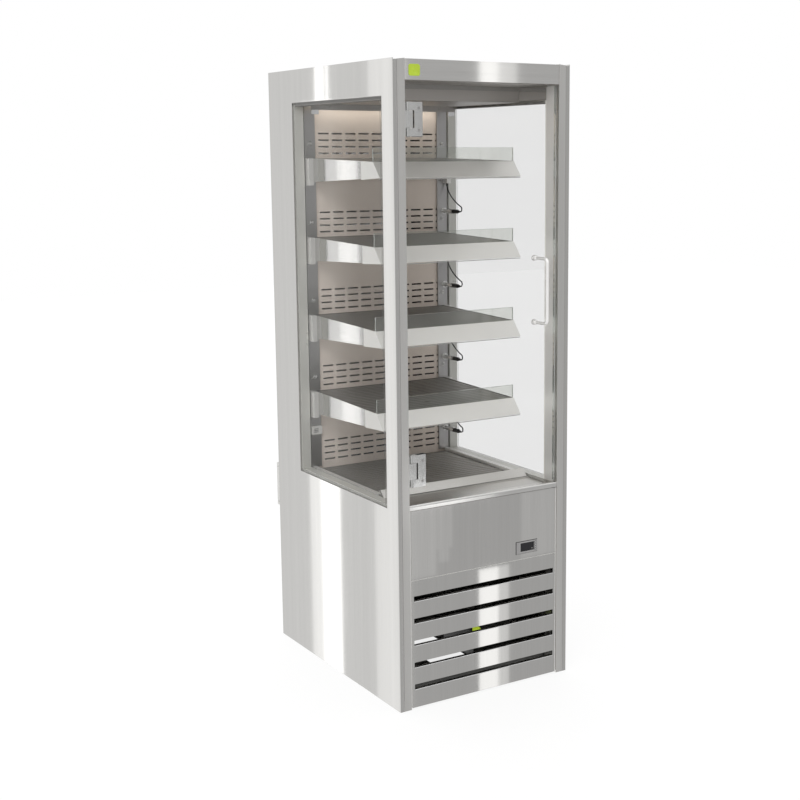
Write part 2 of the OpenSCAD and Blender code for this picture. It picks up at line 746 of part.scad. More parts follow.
module shelf_sockets() color(bright) for (k = [0:3]) {
    z = shelf_z(k) - lead_drop;
    bar_y(socket_x, upright_d - 6, upright_d, z, 11);
    bar_y(socket_x, socket_tip_d, upright_d - 6, z, socket_r);
}

module shelf_plugs() color(black) for (k = [0:3]) {
    z = shelf_z(k) - lead_drop;
    bar_y(socket_x, plug_tip_d + plug_taper, socket_tip_d, z, plug_r);
    translate([socket_x, fy(plug_tip_d + plug_taper), z]) rotate([90, 0, 0])
        cylinder(r1 = plug_r, r2 = 2 * lead_r, h = plug_taper);
}

// ---------- shelf leads ----------

function unit(v) = v / norm(v);
function route_dir(p, i) = unit(p[min(i + 1, len(p) - 1)] - p[max(i - 1, 0)]);
function ring(c, t, r) = [for (j = [0:lead_sides - 1])
    let (a = 360 * j / lead_sides, u = [1, 0, 0], v = cross(t, u))
        c + r * (cos(a) * unit(u - t * (u * t)) + sin(a) * unit(v))];
function bezier(a, b, c, d, t) = pow(1 - t, 3) * a + 3 * t * pow(1 - t, 2) * b
    + 3 * t * t * (1 - t) * c + pow(t, 3) * d;

// Route of a lead in [x, distance behind the front plane, height above its socket]: out of the
// plug, over a half loop, and back up into the underside of the shelf bracket
loop_top = [socket_x, lead_loop_d, 2 * lead_loop_r];
lead_route = concat(
    [[socket_x, plug_tip_d, 0]],
    [for (t = [0:22.5:157.5])
        [socket_x, lead_loop_d - lead_loop_r * sin(t), lead_loop_r * (1 - cos(t))]],
    [for (t = [0:1 / 14:1.001])
        bezier(loop_top, loop_top + lead_out, lead_end - lead_in, lead_end, t)]
);

// Tube swept along a list of points
module swept_tube(p, r) {
    n = len(p);
    m = lead_sides;
    points = [for (i = [0:n - 1]) each ring(p[i], route_dir(p, i), r)];
    walls = [for (i = [0:n - 2]) for (j = [0:m - 1])
        [i * m + j, i * m + (j + 1) % m, (i + 1) * m + (j + 1) % m, (i + 1) * m + j]];
    first_end = [for (j = [0:m - 1]) m - 1 - j];
    last_end = [for (j = [0:m - 1]) (n - 1) * m + j];
    polyhedron(points, concat(walls, [first_end, last_end]));
}

module shelf_leads() color(black) for (k = [0:3]) {
    z = shelf_z(k) - lead_drop;
    swept_tube([for (p = lead_route) [p[0], fy(p[1]), z + p[2]]], lead_r);
}

// ---------- nodes ----------

base_frame();
base_plate();
levelling_feet();
left_side_panel();
right_side_panel();
left_front_post();
right_front_post();
roof_panel();
top_fascia();
fascia_badge();
ceiling_panel();
lamp_diffuser();
led_driver();
rear_panel();
rear_service_cover();
inlet_box();
mains_switch();
inlet_gland();
left_glazing();
right_glazing();
glazing_spacers();
back_panel();
shelf_uprights();
probe_housing();
deck_pan();
deck_grid();
deck_lip();
sill();
lower_front_panel();
grille_panel();
controller_housing();
controller_display();
controller_button_1();
controller_button_2();
controller_button_3();
controller_button_4();
door_glass();
top_hinge_clamp();
bottom_hinge_clamp();
hinge_leaves();
door_fixings();
door_handle();
fan_frames();
left_fan_rotor();
right_fan_rotor();
heater_element();
control_box();
terminal_cover();
shelf_brackets();
shelf_sockets();
shelf_plugs();
shelf_leads();
shelf_1();
shelf_2();
shelf_3();
shelf_4();
shelf_grids();
shelf_heaters();
shelf_risers();
ticket_strips();
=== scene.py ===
import math

import bmesh
import bpy
from mathutils import Matrix, Vector


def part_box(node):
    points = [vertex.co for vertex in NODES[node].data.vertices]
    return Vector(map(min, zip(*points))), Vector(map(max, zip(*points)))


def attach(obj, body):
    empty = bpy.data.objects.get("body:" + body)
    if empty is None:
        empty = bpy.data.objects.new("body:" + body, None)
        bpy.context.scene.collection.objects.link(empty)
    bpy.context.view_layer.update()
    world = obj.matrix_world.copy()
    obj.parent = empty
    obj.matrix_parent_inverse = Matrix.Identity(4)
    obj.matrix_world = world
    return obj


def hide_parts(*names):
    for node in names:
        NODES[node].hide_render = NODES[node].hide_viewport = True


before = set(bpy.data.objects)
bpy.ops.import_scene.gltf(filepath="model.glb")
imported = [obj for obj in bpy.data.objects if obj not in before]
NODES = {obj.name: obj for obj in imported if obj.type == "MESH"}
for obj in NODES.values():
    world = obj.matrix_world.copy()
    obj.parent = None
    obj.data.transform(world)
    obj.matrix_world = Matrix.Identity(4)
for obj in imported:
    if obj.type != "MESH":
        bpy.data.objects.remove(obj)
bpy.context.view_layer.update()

MM = 0.001
Z_UP = Vector((0, 0, 1))
TO_FRONT = Vector((0, -1, 0))
TO_REAR = Vector((0, 1, 0))
SIDES = (("left", -1), ("right", 1))
SHELF_NODES = [f"shelf_{i}" for i in range(1, 5)]
KEY_NODES = [f"controller_button_{i}" for i in range(1, 5)]
SHELVES = len(SHELF_NODES)

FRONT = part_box("left_side_panel")[0].y
WALL_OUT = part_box("right_side_panel")[1].x
WALL_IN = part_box("right_glazing")[0].x
SHELF_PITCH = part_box("shelf_2")[0].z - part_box("shelf_1")[0].z


def at(x, d, z):
    """Point in metres from x, the distance behind the front plane and the height, all in millimetres."""
    return Vector((x * MM, FRONT + d * MM, z * MM))


def in_metres(pairs):
    """Pairs of lengths given in millimetres."""
    return [(a * MM, b * MM) for a, b in pairs]


# ---------- node materials ----------

class Nodes:
    """A node tree, with short calls that add a node and set or link its inputs."""

    def __init__(self, tree):
        self.tree = tree

    def put(self, socket, value):
        """Links another node's output to a socket, or sets a constant on it."""
        if isinstance(value, bpy.types.NodeSocket):
            self.tree.links.new(value, socket)
        else:
            socket.default_value = value

    def add(self, kind, inputs, **settings):
        """New node with its settings, then its inputs by name or number."""
        node = self.tree.nodes.new(kind)
        for name, value in settings.items():
            setattr(node, name, value)
        for name, value in inputs.items():
            self.put(node.inputs[name], value)
        return node

    def ramp(self, value, low, high, out_low=0.0, out_high=1.0):
        """The value, carried from one range to another and held at its ends."""
        ends = {"From Min": low, "From Max": high, "To Min": out_low, "To Max": out_high}
        return self.add("ShaderNodeMapRange", {"Value": value, **ends}).outputs["Result"]

    def math(self, operation, a, b):
        return self.add("ShaderNodeMath", {0: a, 1: b}, operation=operation).outputs["Value"]

    def average(self, a, b, share=0.5):
        """Mean of two values, the first counted by its share."""
        return self.math("ADD", self.math("MULTIPLY", a, share), self.math("MULTIPLY", b, 1 - share))

    def blend(self, factor, dark, light):
        """Colour between dark and light by factor."""
        ends = {"Factor": factor, "A": dark, "B": light}
        return self.add("ShaderNodeMix", ends, data_type="RGBA").outputs["Result"]


class Shader(Nodes):
    """A material with one Principled BSDF and noise measured in object coordinates."""

    def __init__(self, name, colour, roughness, metallic=0.0):
        self.material = bpy.data.materials.new(name)
        self.material.use_nodes = True
        super().__init__(self.material.node_tree)
        self.bsdf = self.tree.nodes["Principled BSDF"]
        self.place = self.add("ShaderNodeTexCoord", {}).outputs["Object"]
        self.set("Base Color", (*colour, 1))
        self.set("Roughness", roughness)
        self.set("Metallic", metallic)

    def set(self, name, value):
        """Sets or links an input of the Principled BSDF."""
        self.put(self.bsdf.inputs[name], value)

    def noise(self, cells, detail=2.0, rough=0.5):
        """Noise with so many cells per metre along each axis."""
        grid = self.add("ShaderNodeMapping", {"Vector": self.place, "Scale": cells}).outputs["Vector"]
        grain = {"Vector": grid, "Scale": 1.0, "Detail": detail, "Roughness": rough}
        return self.add("ShaderNodeTexNoise", grain).outputs["Fac"]

    def tone(self, value, colour, darker, lighter):
        """Colour that the value carries from darker to lighter, both as factors of the colour."""
        ends = [(*scaled(colour, by), 1) for by in (darker, lighter)]
        self.set("Base Color", self.blend(self.ramp(value, 0.3, 0.7), *ends))

    def roughen(self, value, low, high):
        self.set("Roughness", self.ramp(value, 0.25, 0.75, low, high))

    def bump(self, height, strength, distance):
        relief = {"Strength": strength, "Distance": distance, "Height": height}
        self.set("Normal", self.add("ShaderNodeBump", relief).outputs["Normal"])

    def glow(self, light, strength):
        self.set("Emission Color", (*light, 1))
        self.set("Emission Strength", strength)


def scaled(colour, by):
    return tuple(min(1.0, c * by) for c in colour)


# Cells per metre of the fine scratches and of the broad bands, long along the brushed axis
GRAIN = {"X": (6, 620, 620), "Y": (620, 6, 620), "Z": (620, 620, 6)}
BANDS = {"X": (0.8, 45, 45), "Y": (45, 0.8, 45), "Z": (45, 45, 0.5)}
BRUSHED_STREAK = 0.045
BRUSHED_SPREAD = 0.02


def brushed(name, colour, roughness, axis):
    """Brushed sheet: long fine scratches along one axis, broad faint bands and soft smudges."""
    s = Shader(name, colour, roughness, 1.0)
    fine = s.noise(GRAIN[axis], 3.0, 0.7)
    broad = s.noise(BANDS[axis], 2.0, 0.5)
    smudge = s.noise((5, 5, 4), 3.0, 0.55)
    s.tone(s.average(fine, broad, 0.6), colour, 1 - BRUSHED_STREAK, 1 + BRUSHED_STREAK)
    s.roughen(s.average(fine, smudge), roughness - BRUSHED_SPREAD, roughness + BRUSHED_SPREAD)
    s.bump(fine, 0.15, 0.02 * MM)
    return s.material


def polished(name, colour, roughness):
    """Polished or plated metal with faint haze."""
    s = Shader(name, colour, roughness, 1.0)
    haze = s.noise((60, 60, 60), 4.0, 0.6)
    s.tone(haze, colour, 0.95, 1.03)
    s.roughen(haze, max(0.03, roughness - 0.04), roughness + 0.06)
    s.bump(s.noise((900, 900, 900), 1.0), 0.05, 0.03 * MM)
    return s.material


def coated(name, colour, roughness, cell=900, bump=0.15, metallic=0.0, dust=0.12):
    """Painted, moulded or coated surface with a fine orange-peel texture and patchy sheen."""
    s = Shader(name, colour, roughness, metallic)
    patch = s.noise((14, 14, 14), 4.0, 0.6)
    grit = s.noise((cell, cell, cell), 2.0, 0.5)
    s.tone(s.average(patch, grit, 0.6), colour, 1 - dust, 1 + dust)
    s.roughen(patch, max(0.02, roughness - 0.08), min(1.0, roughness + 0.08))
    s.bump(grit, bump, 0.15 * MM)
    return s.material


def clear_glass(name, tint, gloss=0.5, haze=0.0):
    """Thin pane: what is behind shows through, tinted, and each face mirrors more at a slant."""
    s = Shader(name, tint, 0.03)
    smear = s.noise((7, 7, 5), 3.0, 0.6)
    facing = s.add("ShaderNodeLayerWeight", {}).outputs["Facing"]
    share = s.ramp(s.math("POWER", facing, 7.0), 0.0, 1.0, 0.004, gloss)
    if haze:
        share = s.math("ADD", share, s.ramp(smear, 0.3, 0.7, 0.5 * haze, 1.5 * haze))
    clear = s.add("ShaderNodeBsdfTransparent", {"Color": (*tint, 1)}).outputs["BSDF"]
    mirror = s.add("ShaderNodeBsdfGlossy", {
        "Color": (0.95, 0.97, 0.96, 1), "Roughness": s.ramp(smear, 0.4, 0.7, 0.02, 0.08),
    }).outputs["BSDF"]
    pane = s.add("ShaderNodeMixShader", {"Fac": share, 1: clear, 2: mirror}).outputs["Shader"]
    s.put(s.tree.nodes["Material Output"].inputs["Surface"], pane)
    s.tree.nodes.remove(s.bsdf)
    return s.material


def glowing(name, colour, light, strength):
    """Opal plastic that glows: lit from behind in the lamp; on the lime terminal cover the glow is painted
    light, with no lamp behind it.
    """
    s = Shader(name, colour, 0.45)
    s.tone(s.noise((9, 60, 60), 2.0), colour, 0.96, 1.02)
    s.glow(light, strength)
    return s.material


STEEL = (0.66, 0.652, 0.635)

# Brushed finishes give the colour, the roughness and the brushed axis; coated ones the colour, the
# roughness, the texture's cells per metre, its bump, the share of metal and the colour's variation
FINISHES = {
    "sheet_upright": (brushed, STEEL, 0.05, "Z"),
    "sheet_across": (brushed, scaled(STEEL, 1.12), 0.08, "X"),
    "post_steel": (brushed, (0.70, 0.69, 0.67), 0.30, "Z"),
    "trim_across": (brushed, (0.74, 0.733, 0.715), 0.12, "X"),
    "trim_satin": (brushed, (0.72, 0.705, 0.675), 0.34, "X"),
    "upright": (brushed, (0.54, 0.53, 0.525), 0.30, "Z"),
    "ceiling": (brushed, (0.52, 0.495, 0.47), 0.42, "X"),
    "header_grey": (brushed, (0.40, 0.39, 0.375), 0.40, "X"),
    "satin_steel": (polished, (0.66, 0.66, 0.65), 0.12),
    "mirror_steel": (polished, (0.92, 0.92, 0.92), 0.07),
    "strip_steel": (coated, (0.86, 0.85, 0.815), 0.40, 900, 0.03, 0.6, 0.03),
    "pan_steel": (coated, (0.82, 0.81, 0.785), 0.35, 900, 0.03, 0.4, 0.03),
    "bright_plate": (coated, (0.88, 0.88, 0.86), 0.24, 900, 0.05, 0.8, 0.04),
    "handle_steel": (coated, (0.96, 0.955, 0.94), 0.20, 900, 0.03, 0.55, 0.02),
    "dark_frame": (coated, (0.16, 0.16, 0.155), 0.5, 400, 0.2, 0.6),
    "heater_tube": (coated, (0.20, 0.17, 0.14), 0.45, 500, 0.2, 0.9),
    "spacer": (coated, (0.68, 0.675, 0.635), 0.34, 900, 0.03, 0.35, 0.03),
    # Dark coating of the window beads; also used for strips that are painted shade at the window tops and
    # along the deck.
    "spacer_dark": (coated, (0.19, 0.185, 0.175), 0.45, 700, 0.1, 0.3),
    "back_panel": (coated, (0.94, 0.83, 0.735), 0.45, 700, 0.08, 0.1, 0.03),
    "shelf_coat": (coated, (0.055, 0.050, 0.045), 0.45, 900, 0.2, 0.2),
    "rib_coat": (coated, (0.28, 0.265, 0.24), 0.34, 900, 0.12, 0.4),
    # White plastic for the indicator dot; also on strips at the windows' front edges and on the deck rail,
    # where it is a painted highlight.
    "seal_white": (coated, (0.90, 0.885, 0.83), 0.35, 700, 0.05, 0.0, 0.03),
    "heating_mat": (coated, (0.30, 0.10, 0.06), 0.6, 500, 0.3),
    "black_plastic": (coated, (0.03, 0.03, 0.03), 0.45, 1200, 0.25),
    "grey_plastic": (coated, (0.10, 0.10, 0.10), 0.5, 1200, 0.25),
    "white_plastic": (coated, (0.76, 0.75, 0.72), 0.4, 900, 0.15),
    "lime_plastic": (coated, (0.40, 0.53, 0.038), 0.28, 900, 0.08),
    "display": (coated, (0.008, 0.008, 0.01), 0.08, 300, 0.0),
    "lead": (coated, (0.022, 0.022, 0.022), 0.5, 1500, 0.3),
    "rubber": (coated, (0.025, 0.025, 0.025), 0.7, 800, 0.4),
    "glass": (clear_glass, (0.962, 0.962, 0.962)),
    "riser_glass": (clear_glass, (0.905, 0.912, 0.893), 0.7, 0.07),
    "edge_glass": (clear_glass, (0.80, 0.82, 0.80), 0.8, 0.45),
    # The lime terminal cover glows though it holds no lamp: painted light.
    "lime_lit": (glowing, (0.47, 0.60, 0.035), (0.55, 0.72, 0.05), 0.5),
    "lamp": (glowing, (0.93, 0.91, 0.85), (1.0, 0.95, 0.84), 0.8),
}
MATERIALS = {name: make(name, *values) for name, (make, *values) in FINISHES.items()}

NODE_FINISH = {
    "sheet_upright": ["left_side_panel", "right_side_panel", "lower_front_panel", "grille_panel",
                      "rear_panel", "rear_service_cover", *SHELF_NODES],
    "sheet_across": ["roof_panel", "top_fascia"],
    "trim_across": ["sill"],
    "trim_satin": ["deck_lip"],
    "ceiling": ["ceiling_panel"],
    "upright": ["shelf_uprights", "controller_housing"],
    "satin_steel": ["top_hinge_clamp", "bottom_hinge_clamp", "hinge_leaves", *KEY_NODES],
    "handle_steel": ["door_handle", "door_fixings"],
    "bright_plate": ["shelf_sockets"],
    "spacer": ["glazing_spacers"],
    "dark_frame": ["base_frame", "base_plate", "levelling_feet"],
    "back_panel": ["back_panel"],
    "shelf_coat": ["shelf_grids", "deck_grid"],
    "heating_mat": ["shelf_heaters"],
    "glass": ["left_glazing", "right_glazing", "door_glass"],
    "riser_glass": ["shelf_risers"],
    "black_plastic": ["mains_switch", "inlet_gland", "shelf_plugs", "fan_frames",
                      "left_fan_rotor", "right_fan_rotor"],
    "grey_plastic": ["control_box"],
    "display": ["controller_display"],
    "lime_plastic": ["fascia_badge"],
    # The terminal cover's glow is painted light; it holds no lamp.
    "lime_lit": ["terminal_cover"],
    "strip_steel": ["ticket_strips"],
    "pan_steel": ["deck_pan", "shelf_brackets"],
    "post_steel": ["left_front_post", "right_front_post", "inlet_box"],
    "white_plastic": ["probe_housing", "led_driver"],
    "lamp": ["lamp_diffuser"],
    "lead": ["shelf_leads"],
    "heater_tube": ["heater_element"],
}
SILL_ROLL_D = 15


def paint_nodes():
    """Gives each CAD node its material."""
    for finish, names in NODE_FINISH.items():
        for name in names:
            mesh = NODES[name].data
            mesh.materials.clear()
            mesh.materials.append(MATERIALS[finish])


def paint_part_of(node, finish, belongs):
    """Gives a second material to the faces of a node whose middle the test accepts."""
    mesh = NODES[node].data
    mesh.materials.append(MATERIALS[finish])
    for face in mesh.polygons:
        if belongs(face.center):
            face.material_index = 1


paint_nodes()
paint_part_of("door_fixings", "upright", lambda middle: middle.x < 0)
paint_part_of("sill", "trim_satin", lambda middle: middle.y > at(0, SILL_ROLL_D, 0).y)

# Width of the rounding in millimetres, and the nodes that have it
EDGE_ROUNDING = {
    0.3: ["top_hinge_clamp", "bottom_hinge_clamp"],
    0.5: ["left_side_panel", "right_side_panel", "left_front_post", "right_front_post",
          "top_fascia", "lower_front_panel", "grille_panel", "sill", "deck_lip",
          "ticket_strips", "controller_housing", "shelf_brackets", "probe_housing"],
    0.8: ["hinge_leaves", "terminal_cover", "inlet_box", "mains_switch", "inlet_gland",
          "control_box", "shelf_plugs", "shelf_sockets", "door_fixings"],
}


def round_edges(thing, width):
    """Small rounding wherever two faces meet at a sharp angle."""
    bevel = thing.modifiers.new("edges", "BEVEL")
    bevel.width = width
    bevel.segments = 2
    bevel.limit_method = "ANGLE"
    bevel.angle_limit = math.radians(40)
    thing.modifiers.new("normals", "WEIGHTED_NORMAL").keep_sharp = True


def soften_nodes():
    """Rounds the CAD nodes whose edges catch the light."""
    for width, names in EDGE_ROUNDING.items():
        for name in names:
            NODES[name].modifiers.new("weld", "WELD").merge_threshold = 0.02 * MM
            round_edges(NODES[name], width * MM)


soften_nodes()


# ---------- mesh helpers ----------


def make_piece(name, bm, finish, body="cabinet", stands_for=(), rounding=0.0):
    """Turns a bmesh into a shaded object with a material, and hangs it on a CAD body."""
    bmesh.ops.recalc_face_normals(bm, faces=bm.faces)
    mesh = bpy.data.meshes.new(name)
    bm.to_mesh(mesh)
    bm.free()
    mesh.materials.append(MATERIALS[finish])
    mesh.shade_smooth()
    mesh.set_sharp_from_angle(angle=math.radians(38))
    piece = bpy.data.objects.new(name, mesh)
    bpy.context.scene.collection.objects.link(piece)
    if rounding:
        round_edges(piece, rounding)
    if stands_for:
        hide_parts(*stands_for)
    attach(piece, body)


def add_box(bm, low, high):
    """Block between two corners."""
    middle, size = (low + high) / 2, high - low
    for vert in bmesh.ops.create_cube(bm, size=1.0)["verts"]:
        vert.co = Vector([m + c * s for m, c, s in zip(middle, vert.co, size)])


def make_blocks(name, boxes, finish, body="cabinet", rounding=0.0):
    """One piece made of blocks, each given by two corners."""
    bm = bmesh.new()
    for low, high in boxes:
        add_box(bm, low, high)
    make_piece(name, bm, finish, body, rounding=rounding)


def stitch(bm, a, b):
    """Band of faces between two closed loops of vertices, either of which may be one vertex."""
    for i in range(max(len(a), len(b))):
        if len(a) == 1:
            bm.faces.new((a[0], b[i], b[i - 1]))
        elif len(b) == 1:
            bm.faces.new((a[i - 1], a[i], b[0]))
        else:
            bm.faces.new((a[i - 1], a[i], b[i], b[i - 1]))


def add_extrusion(bm, loop, along):
    """Solid swept from a closed loop of points along a vector."""
    near = [bm.verts.new(p) for p in loop]
    far = [bm.verts.new(p + along) for p in loop]
    bm.faces.new(near)
    bm.faces.new(far[::-1])
    stitch(bm, near, far)


def section(x, y, z, outline):
    """Loop in the plane across x, from an outline in millimetres: rearwards, upwards."""
    return [Vector((x, y + u, z + v)) for u, v in in_metres(outline)]


def add_frame(bm, low, high, axis, width):
    """Flat rectangular frame between two corners, open along one axis, its bars width wide."""
    u, v = [a for a in range(3) if a != axis]
    rings = []
    for depth in (low[axis], high[axis]):
        for inset in (0.0, width):
            ring = []
            for su, sv in ((0, 0), (1, 0), (1, 1), (0, 1)):
                point = Vector((0, 0, 0))
                point[axis] = depth
                point[u] = high[u] - inset if su else low[u] + inset
                point[v] = high[v] - inset if sv else low[v] + inset
                ring.append(bm.verts.new(point))
            rings.append(ring)
    near_out, near_in, far_out, far_in = rings
    for a, b in ((near_out, near_in), (far_out, far_in), (near_out, far_out), (near_in, far_in)):
        stitch(bm, a, b)


def add_circle(bm, middle, across, beside, radius, sides):
    """Vertices round a circle in the plane of two unit vectors."""
    turns = [2 * math.pi * i / sides for i in range(sides)]
    return [bm.verts.new(middle + radius * (across * math.cos(t) + beside * math.sin(t))) for t in turns]


def plane_across(axis):
    """The axis as a unit vector, and two unit vectors at right angles to it and to each other."""
    axis = Vector(axis).normalized()
    across = axis.orthogonal().normalized()
    return axis, across, axis.cross(across)


def add_turned(bm, origin, axis, profile, sides=24):
    """Turned solid: the profile lists (distance along the axis, radius), closed at both ends."""
    axis, across, beside = plane_across(axis)
    rings = []
    for along, radius in profile:
        middle = origin + axis * along
        if radius == 0:
            rings.append([bm.verts.new(middle)])
        else:
            rings.append(add_circle(bm, middle, across, beside, radius, sides))
    for a, b in zip(rings, rings[1:]):
        stitch(bm, a, b)
    for ring in (rings[0], rings[-1]):
        if len(ring) > 1:
            bm.faces.new(ring)


def add_ring(bm, middle, axis, radius, thickness, sides=28):
    """Torus about an axis."""
    axis, across, beside = plane_across(axis)
    loops = []
    for t in (2 * math.pi * i / sides for i in range(sides)):
        out = across * math.cos(t) + beside * math.sin(t)
        loops.append(add_circle(bm, middle + out * radius, out, axis, thickness, 8))
    for i in range(sides):
        stitch(bm, loops[i - 1], loops[i])


def add_tube(bm, points, radius, sides=14):
    """Round tube that follows a list of points, closed at both ends."""
    across = (points[1] - points[0]).orthogonal().normalized()
    rings = []
    for i, point in enumerate(points):
        way = (points[min(i + 1, len(points) - 1)] - points[max(i - 1, 0)]).normalized()
        across = (across - way * across.dot(way)).normalized()
        rings.append(add_circle(bm, point, across, way.cross(across), radius, sides))
    bm.faces.new(rings[0])
    bm.faces.new(rings[-1][::-1])
    for a, b in zip(rings, rings[1:]):
        stitch(bm, a, b)


def straight(start, end, steps=8):
    """Points along a straight line."""
    return [start.lerp(end, i / steps) for i in range(steps + 1)]


def curve(a, b, c, d, steps):
    """Points along a cubic curve from a to d that leaves towards b and arrives from c."""
    points = []
    for i in range(steps + 1):
        t = i / steps
        s = 1 - t
        points.append(s ** 3 * a + 3 * s * s * t * b + 3 * s * t * t * c + t ** 3 * d)
    return points


# Distance out of the face and radius, as shares of the head's radius: a button head with a socket,
# and a blind rivet's low dome with the mandrel's hole in it
SCREW = [(0, 0), (0, 1.0), (0.22, 1.0), (0.50, 0.84), (0.66, 0.60), (0.66, 0.46), (0.30, 0.42), (0.30, 0)]
RIVET = [(0, 0), (0, 1.0), (0.18, 0.96), (0.36, 0.68), (0.40, 0.34), (0.15, 0.30), (0.15, 0)]


def make_screws(name, places, out, radius, head=SCREW):
    """One piece made of equal screws or rivets, standing on faces that look along out."""
    bm = bmesh.new()
    profile = [(a * radius, r * radius) for a, r in head]
    for place in places:
        add_turned(bm, place, out, profile, 18)
    make_piece(name, bm, "satin_steel")


# ---------- shelves and deck ----------

SHELF_SLOPE = 10 / 413
RIB_PITCH = 22 * MM
RIB_HALF = 7 * MM
RIB_STEPS = 6
RIB_SIDE_GAP = 6 * MM
RIB_END_GAP = 3 * MM
PLATE_T = 0.5 * MM


def add_ribs(bm, x_half, y_from, y_to, top_at, height):
    """Half-round ribs across the cabinet, their crowns at the height that top_at(y) gives."""
    count = int((y_to - y_from) / RIB_PITCH)
    start = (y_from + y_to - (count - 1) * RIB_PITCH) / 2
    for y in (start + i * RIB_PITCH for i in range(count)):
        loop = [Vector((-x_half, y - RIB_HALF * math.cos(t), top_at(y) - height * (1 - math.sin(t))))
                for t in (math.pi * j / RIB_STEPS for j in range(RIB_STEPS + 1))]
        add_extrusion(bm, loop, Vector((2 * x_half, 0, 0)))


def make_ribbed_surface(name, x_half, y_from, y_to, top_at, height, node):
    """Dark plate with raised ribs, in place of a plain CAD grid."""
    ribs = bmesh.new()
    add_ribs(ribs, x_half - RIB_SIDE_GAP, y_from + RIB_END_GAP, y_to - RIB_END_GAP, top_at, height)
    make_piece(name + "_ribs", ribs, "rib_coat", stands_for=(node,))
    plate = bmesh.new()
    loop = [Vector((-x_half, y, top_at(y) - height - t))
            for y, t in ((y_from, 0), (y_to, 0), (y_to, PLATE_T), (y_from, PLATE_T))]
    add_extrusion(plate, loop, Vector((2 * x_half, 0, 0)))
    make_piece(name + "_plate", plate, "shelf_coat", stands_for=(node,))


def make_shelves():
    """Ribbed surface of each sloping shelf, and of the deck."""
    edge = 1.7 * MM
    drop = 0.3 * MM
    for name in SHELF_NODES:
        low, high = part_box(name)
        make_ribbed_surface(name + "_surface", high.x - edge, low.y + edge, high.y - edge,
                            lambda y: high.z - (high.y - y) * SHELF_SLOPE - drop, 1.5 * MM, "shelf_grids")
    low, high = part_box("deck_grid")
    make_ribbed_surface("deck_surface", high.x, low.y, high.y, lambda y: high.z, 3.0 * MM, "deck_grid")


def make_strip_hems():
    """Rolled hem along the lower front edge of each ticket strip."""
    low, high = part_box("ticket_strips")
    inset = 1.5 * MM
    rise = 3.2 * MM
    for k in range(SHELVES):
        start = Vector((low.x + inset, low.y + inset, low.z + k * SHELF_PITCH + rise))
        hem = bmesh.new()
        add_tube(hem, straight(start, Vector((high.x - inset, start.y, start.z))), 1.2 * MM, 10)
        make_piece(f"ticket_hem_{k + 1}", hem, "satin_steel")


def make_riser_edges():
    """Ground edges of the glass risers, which catch the light."""
    low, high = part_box("shelf_risers")
    height = high.z - low.z - (SHELVES - 1) * SHELF_PITCH
    edge = 0.9 * MM
    foot = 15 * MM
    for k in range(SHELVES):
        bottom = low.z + k * SHELF_PITCH
        under = bottom + height - edge
        boxes = [(Vector((low.x, low.y, under)), Vector((high.x, high.y, bottom + height)))]
        for x in (low.x, high.x - edge):
            boxes.append((Vector((x, low.y, bottom + foot)), Vector((x + edge, high.y, under))))
        make_blocks(f"riser_edge_{k + 1}", boxes, "edge_glass")


# ---------- shelf sockets, plugs and leads ----------

SOCKET_X = 250
SOCKET_TIP = 569
SOCKET_BELOW_RISER = 152
PLUG_TIP = 530
LOOP_D = 525
LOOP_R = 9
LEAD_R = 2 * MM
LEAD_START = 8
LEAD_END_X = 256
LEAD_END_D = 617
LEAD_RISE = 91.7
GROMMET_RISE = 91.5

# Tapered bend relief with ribs, waisted grip and a flat shoulder: distance from the tip, radius
PLUG = [(0, 0), (0, 2.9), (2, 3.2), (2.6, 4.0), (4, 4.1), (4.6, 3.5), (6, 3.8), (6.6, 4.8), (8, 4.9),
        (8.6, 4.3), (10, 4.7), (11, 5.6), (14, 7.0), (19, 6.6), (25, 6.5), (31, 6.9), (34, 7.0),
        (38.6, 7.0), (38.8, 0)]
# Knurled locking ring, smooth barrel, collar and the flange on the upright
KNURL = [pair for i in range(6) for pair in ((1 + 2 * i, 8.0), (2 + 2 * i, 7.5))]
SOCKET = [(0, 0), (0, 7.6), *KNURL, (14, 8.0), (16, 8.0), (16.2, 6.9), (40, 6.9), (46, 6.9), (47, 7.9),
          (57, 8.0), (57, 11), (62, 11), (63, 10.4), (63, 0)]
GROMMET = [(-9, 0), (-9, 2.6), (-6, 3.0), (-5.4, 3.8), (-3.6, 3.8), (-3, 3.2), (-1, 3.6), (0, 4.6), (0, 0)]


def lead_route(z):
    """Middle line of a lead: out of the plug, over a half loop, then up to the shelf's bracket."""
    loop = [at(SOCKET_X, LOOP_D - LOOP_R * math.sin(t), z + LOOP_R * (1 - math.cos(t)))
            for t in (math.pi * i / 16 for i in range(17))]
    top = loop[-1]
    end = at(LEAD_END_X, LEAD_END_D, z + LEAD_RISE)
    rise = curve(top, top + Vector((0, 30, 12)) * MM, end - Vector((0, 0, 34)) * MM, end, 28)
    return [at(SOCKET_X, PLUG_TIP + LEAD_START, z), at(SOCKET_X, PLUG_TIP, z)] + loop + rise[1:]


def make_turned(name, place, axis, profile, finish, sides, body="cabinet", stands_for=()):
    """One turned piece, from a profile in millimetres."""
    bm = bmesh.new()
    add_turned(bm, place, axis, in_metres(profile), sides)
    make_piece(name, bm, finish, body, stands_for)


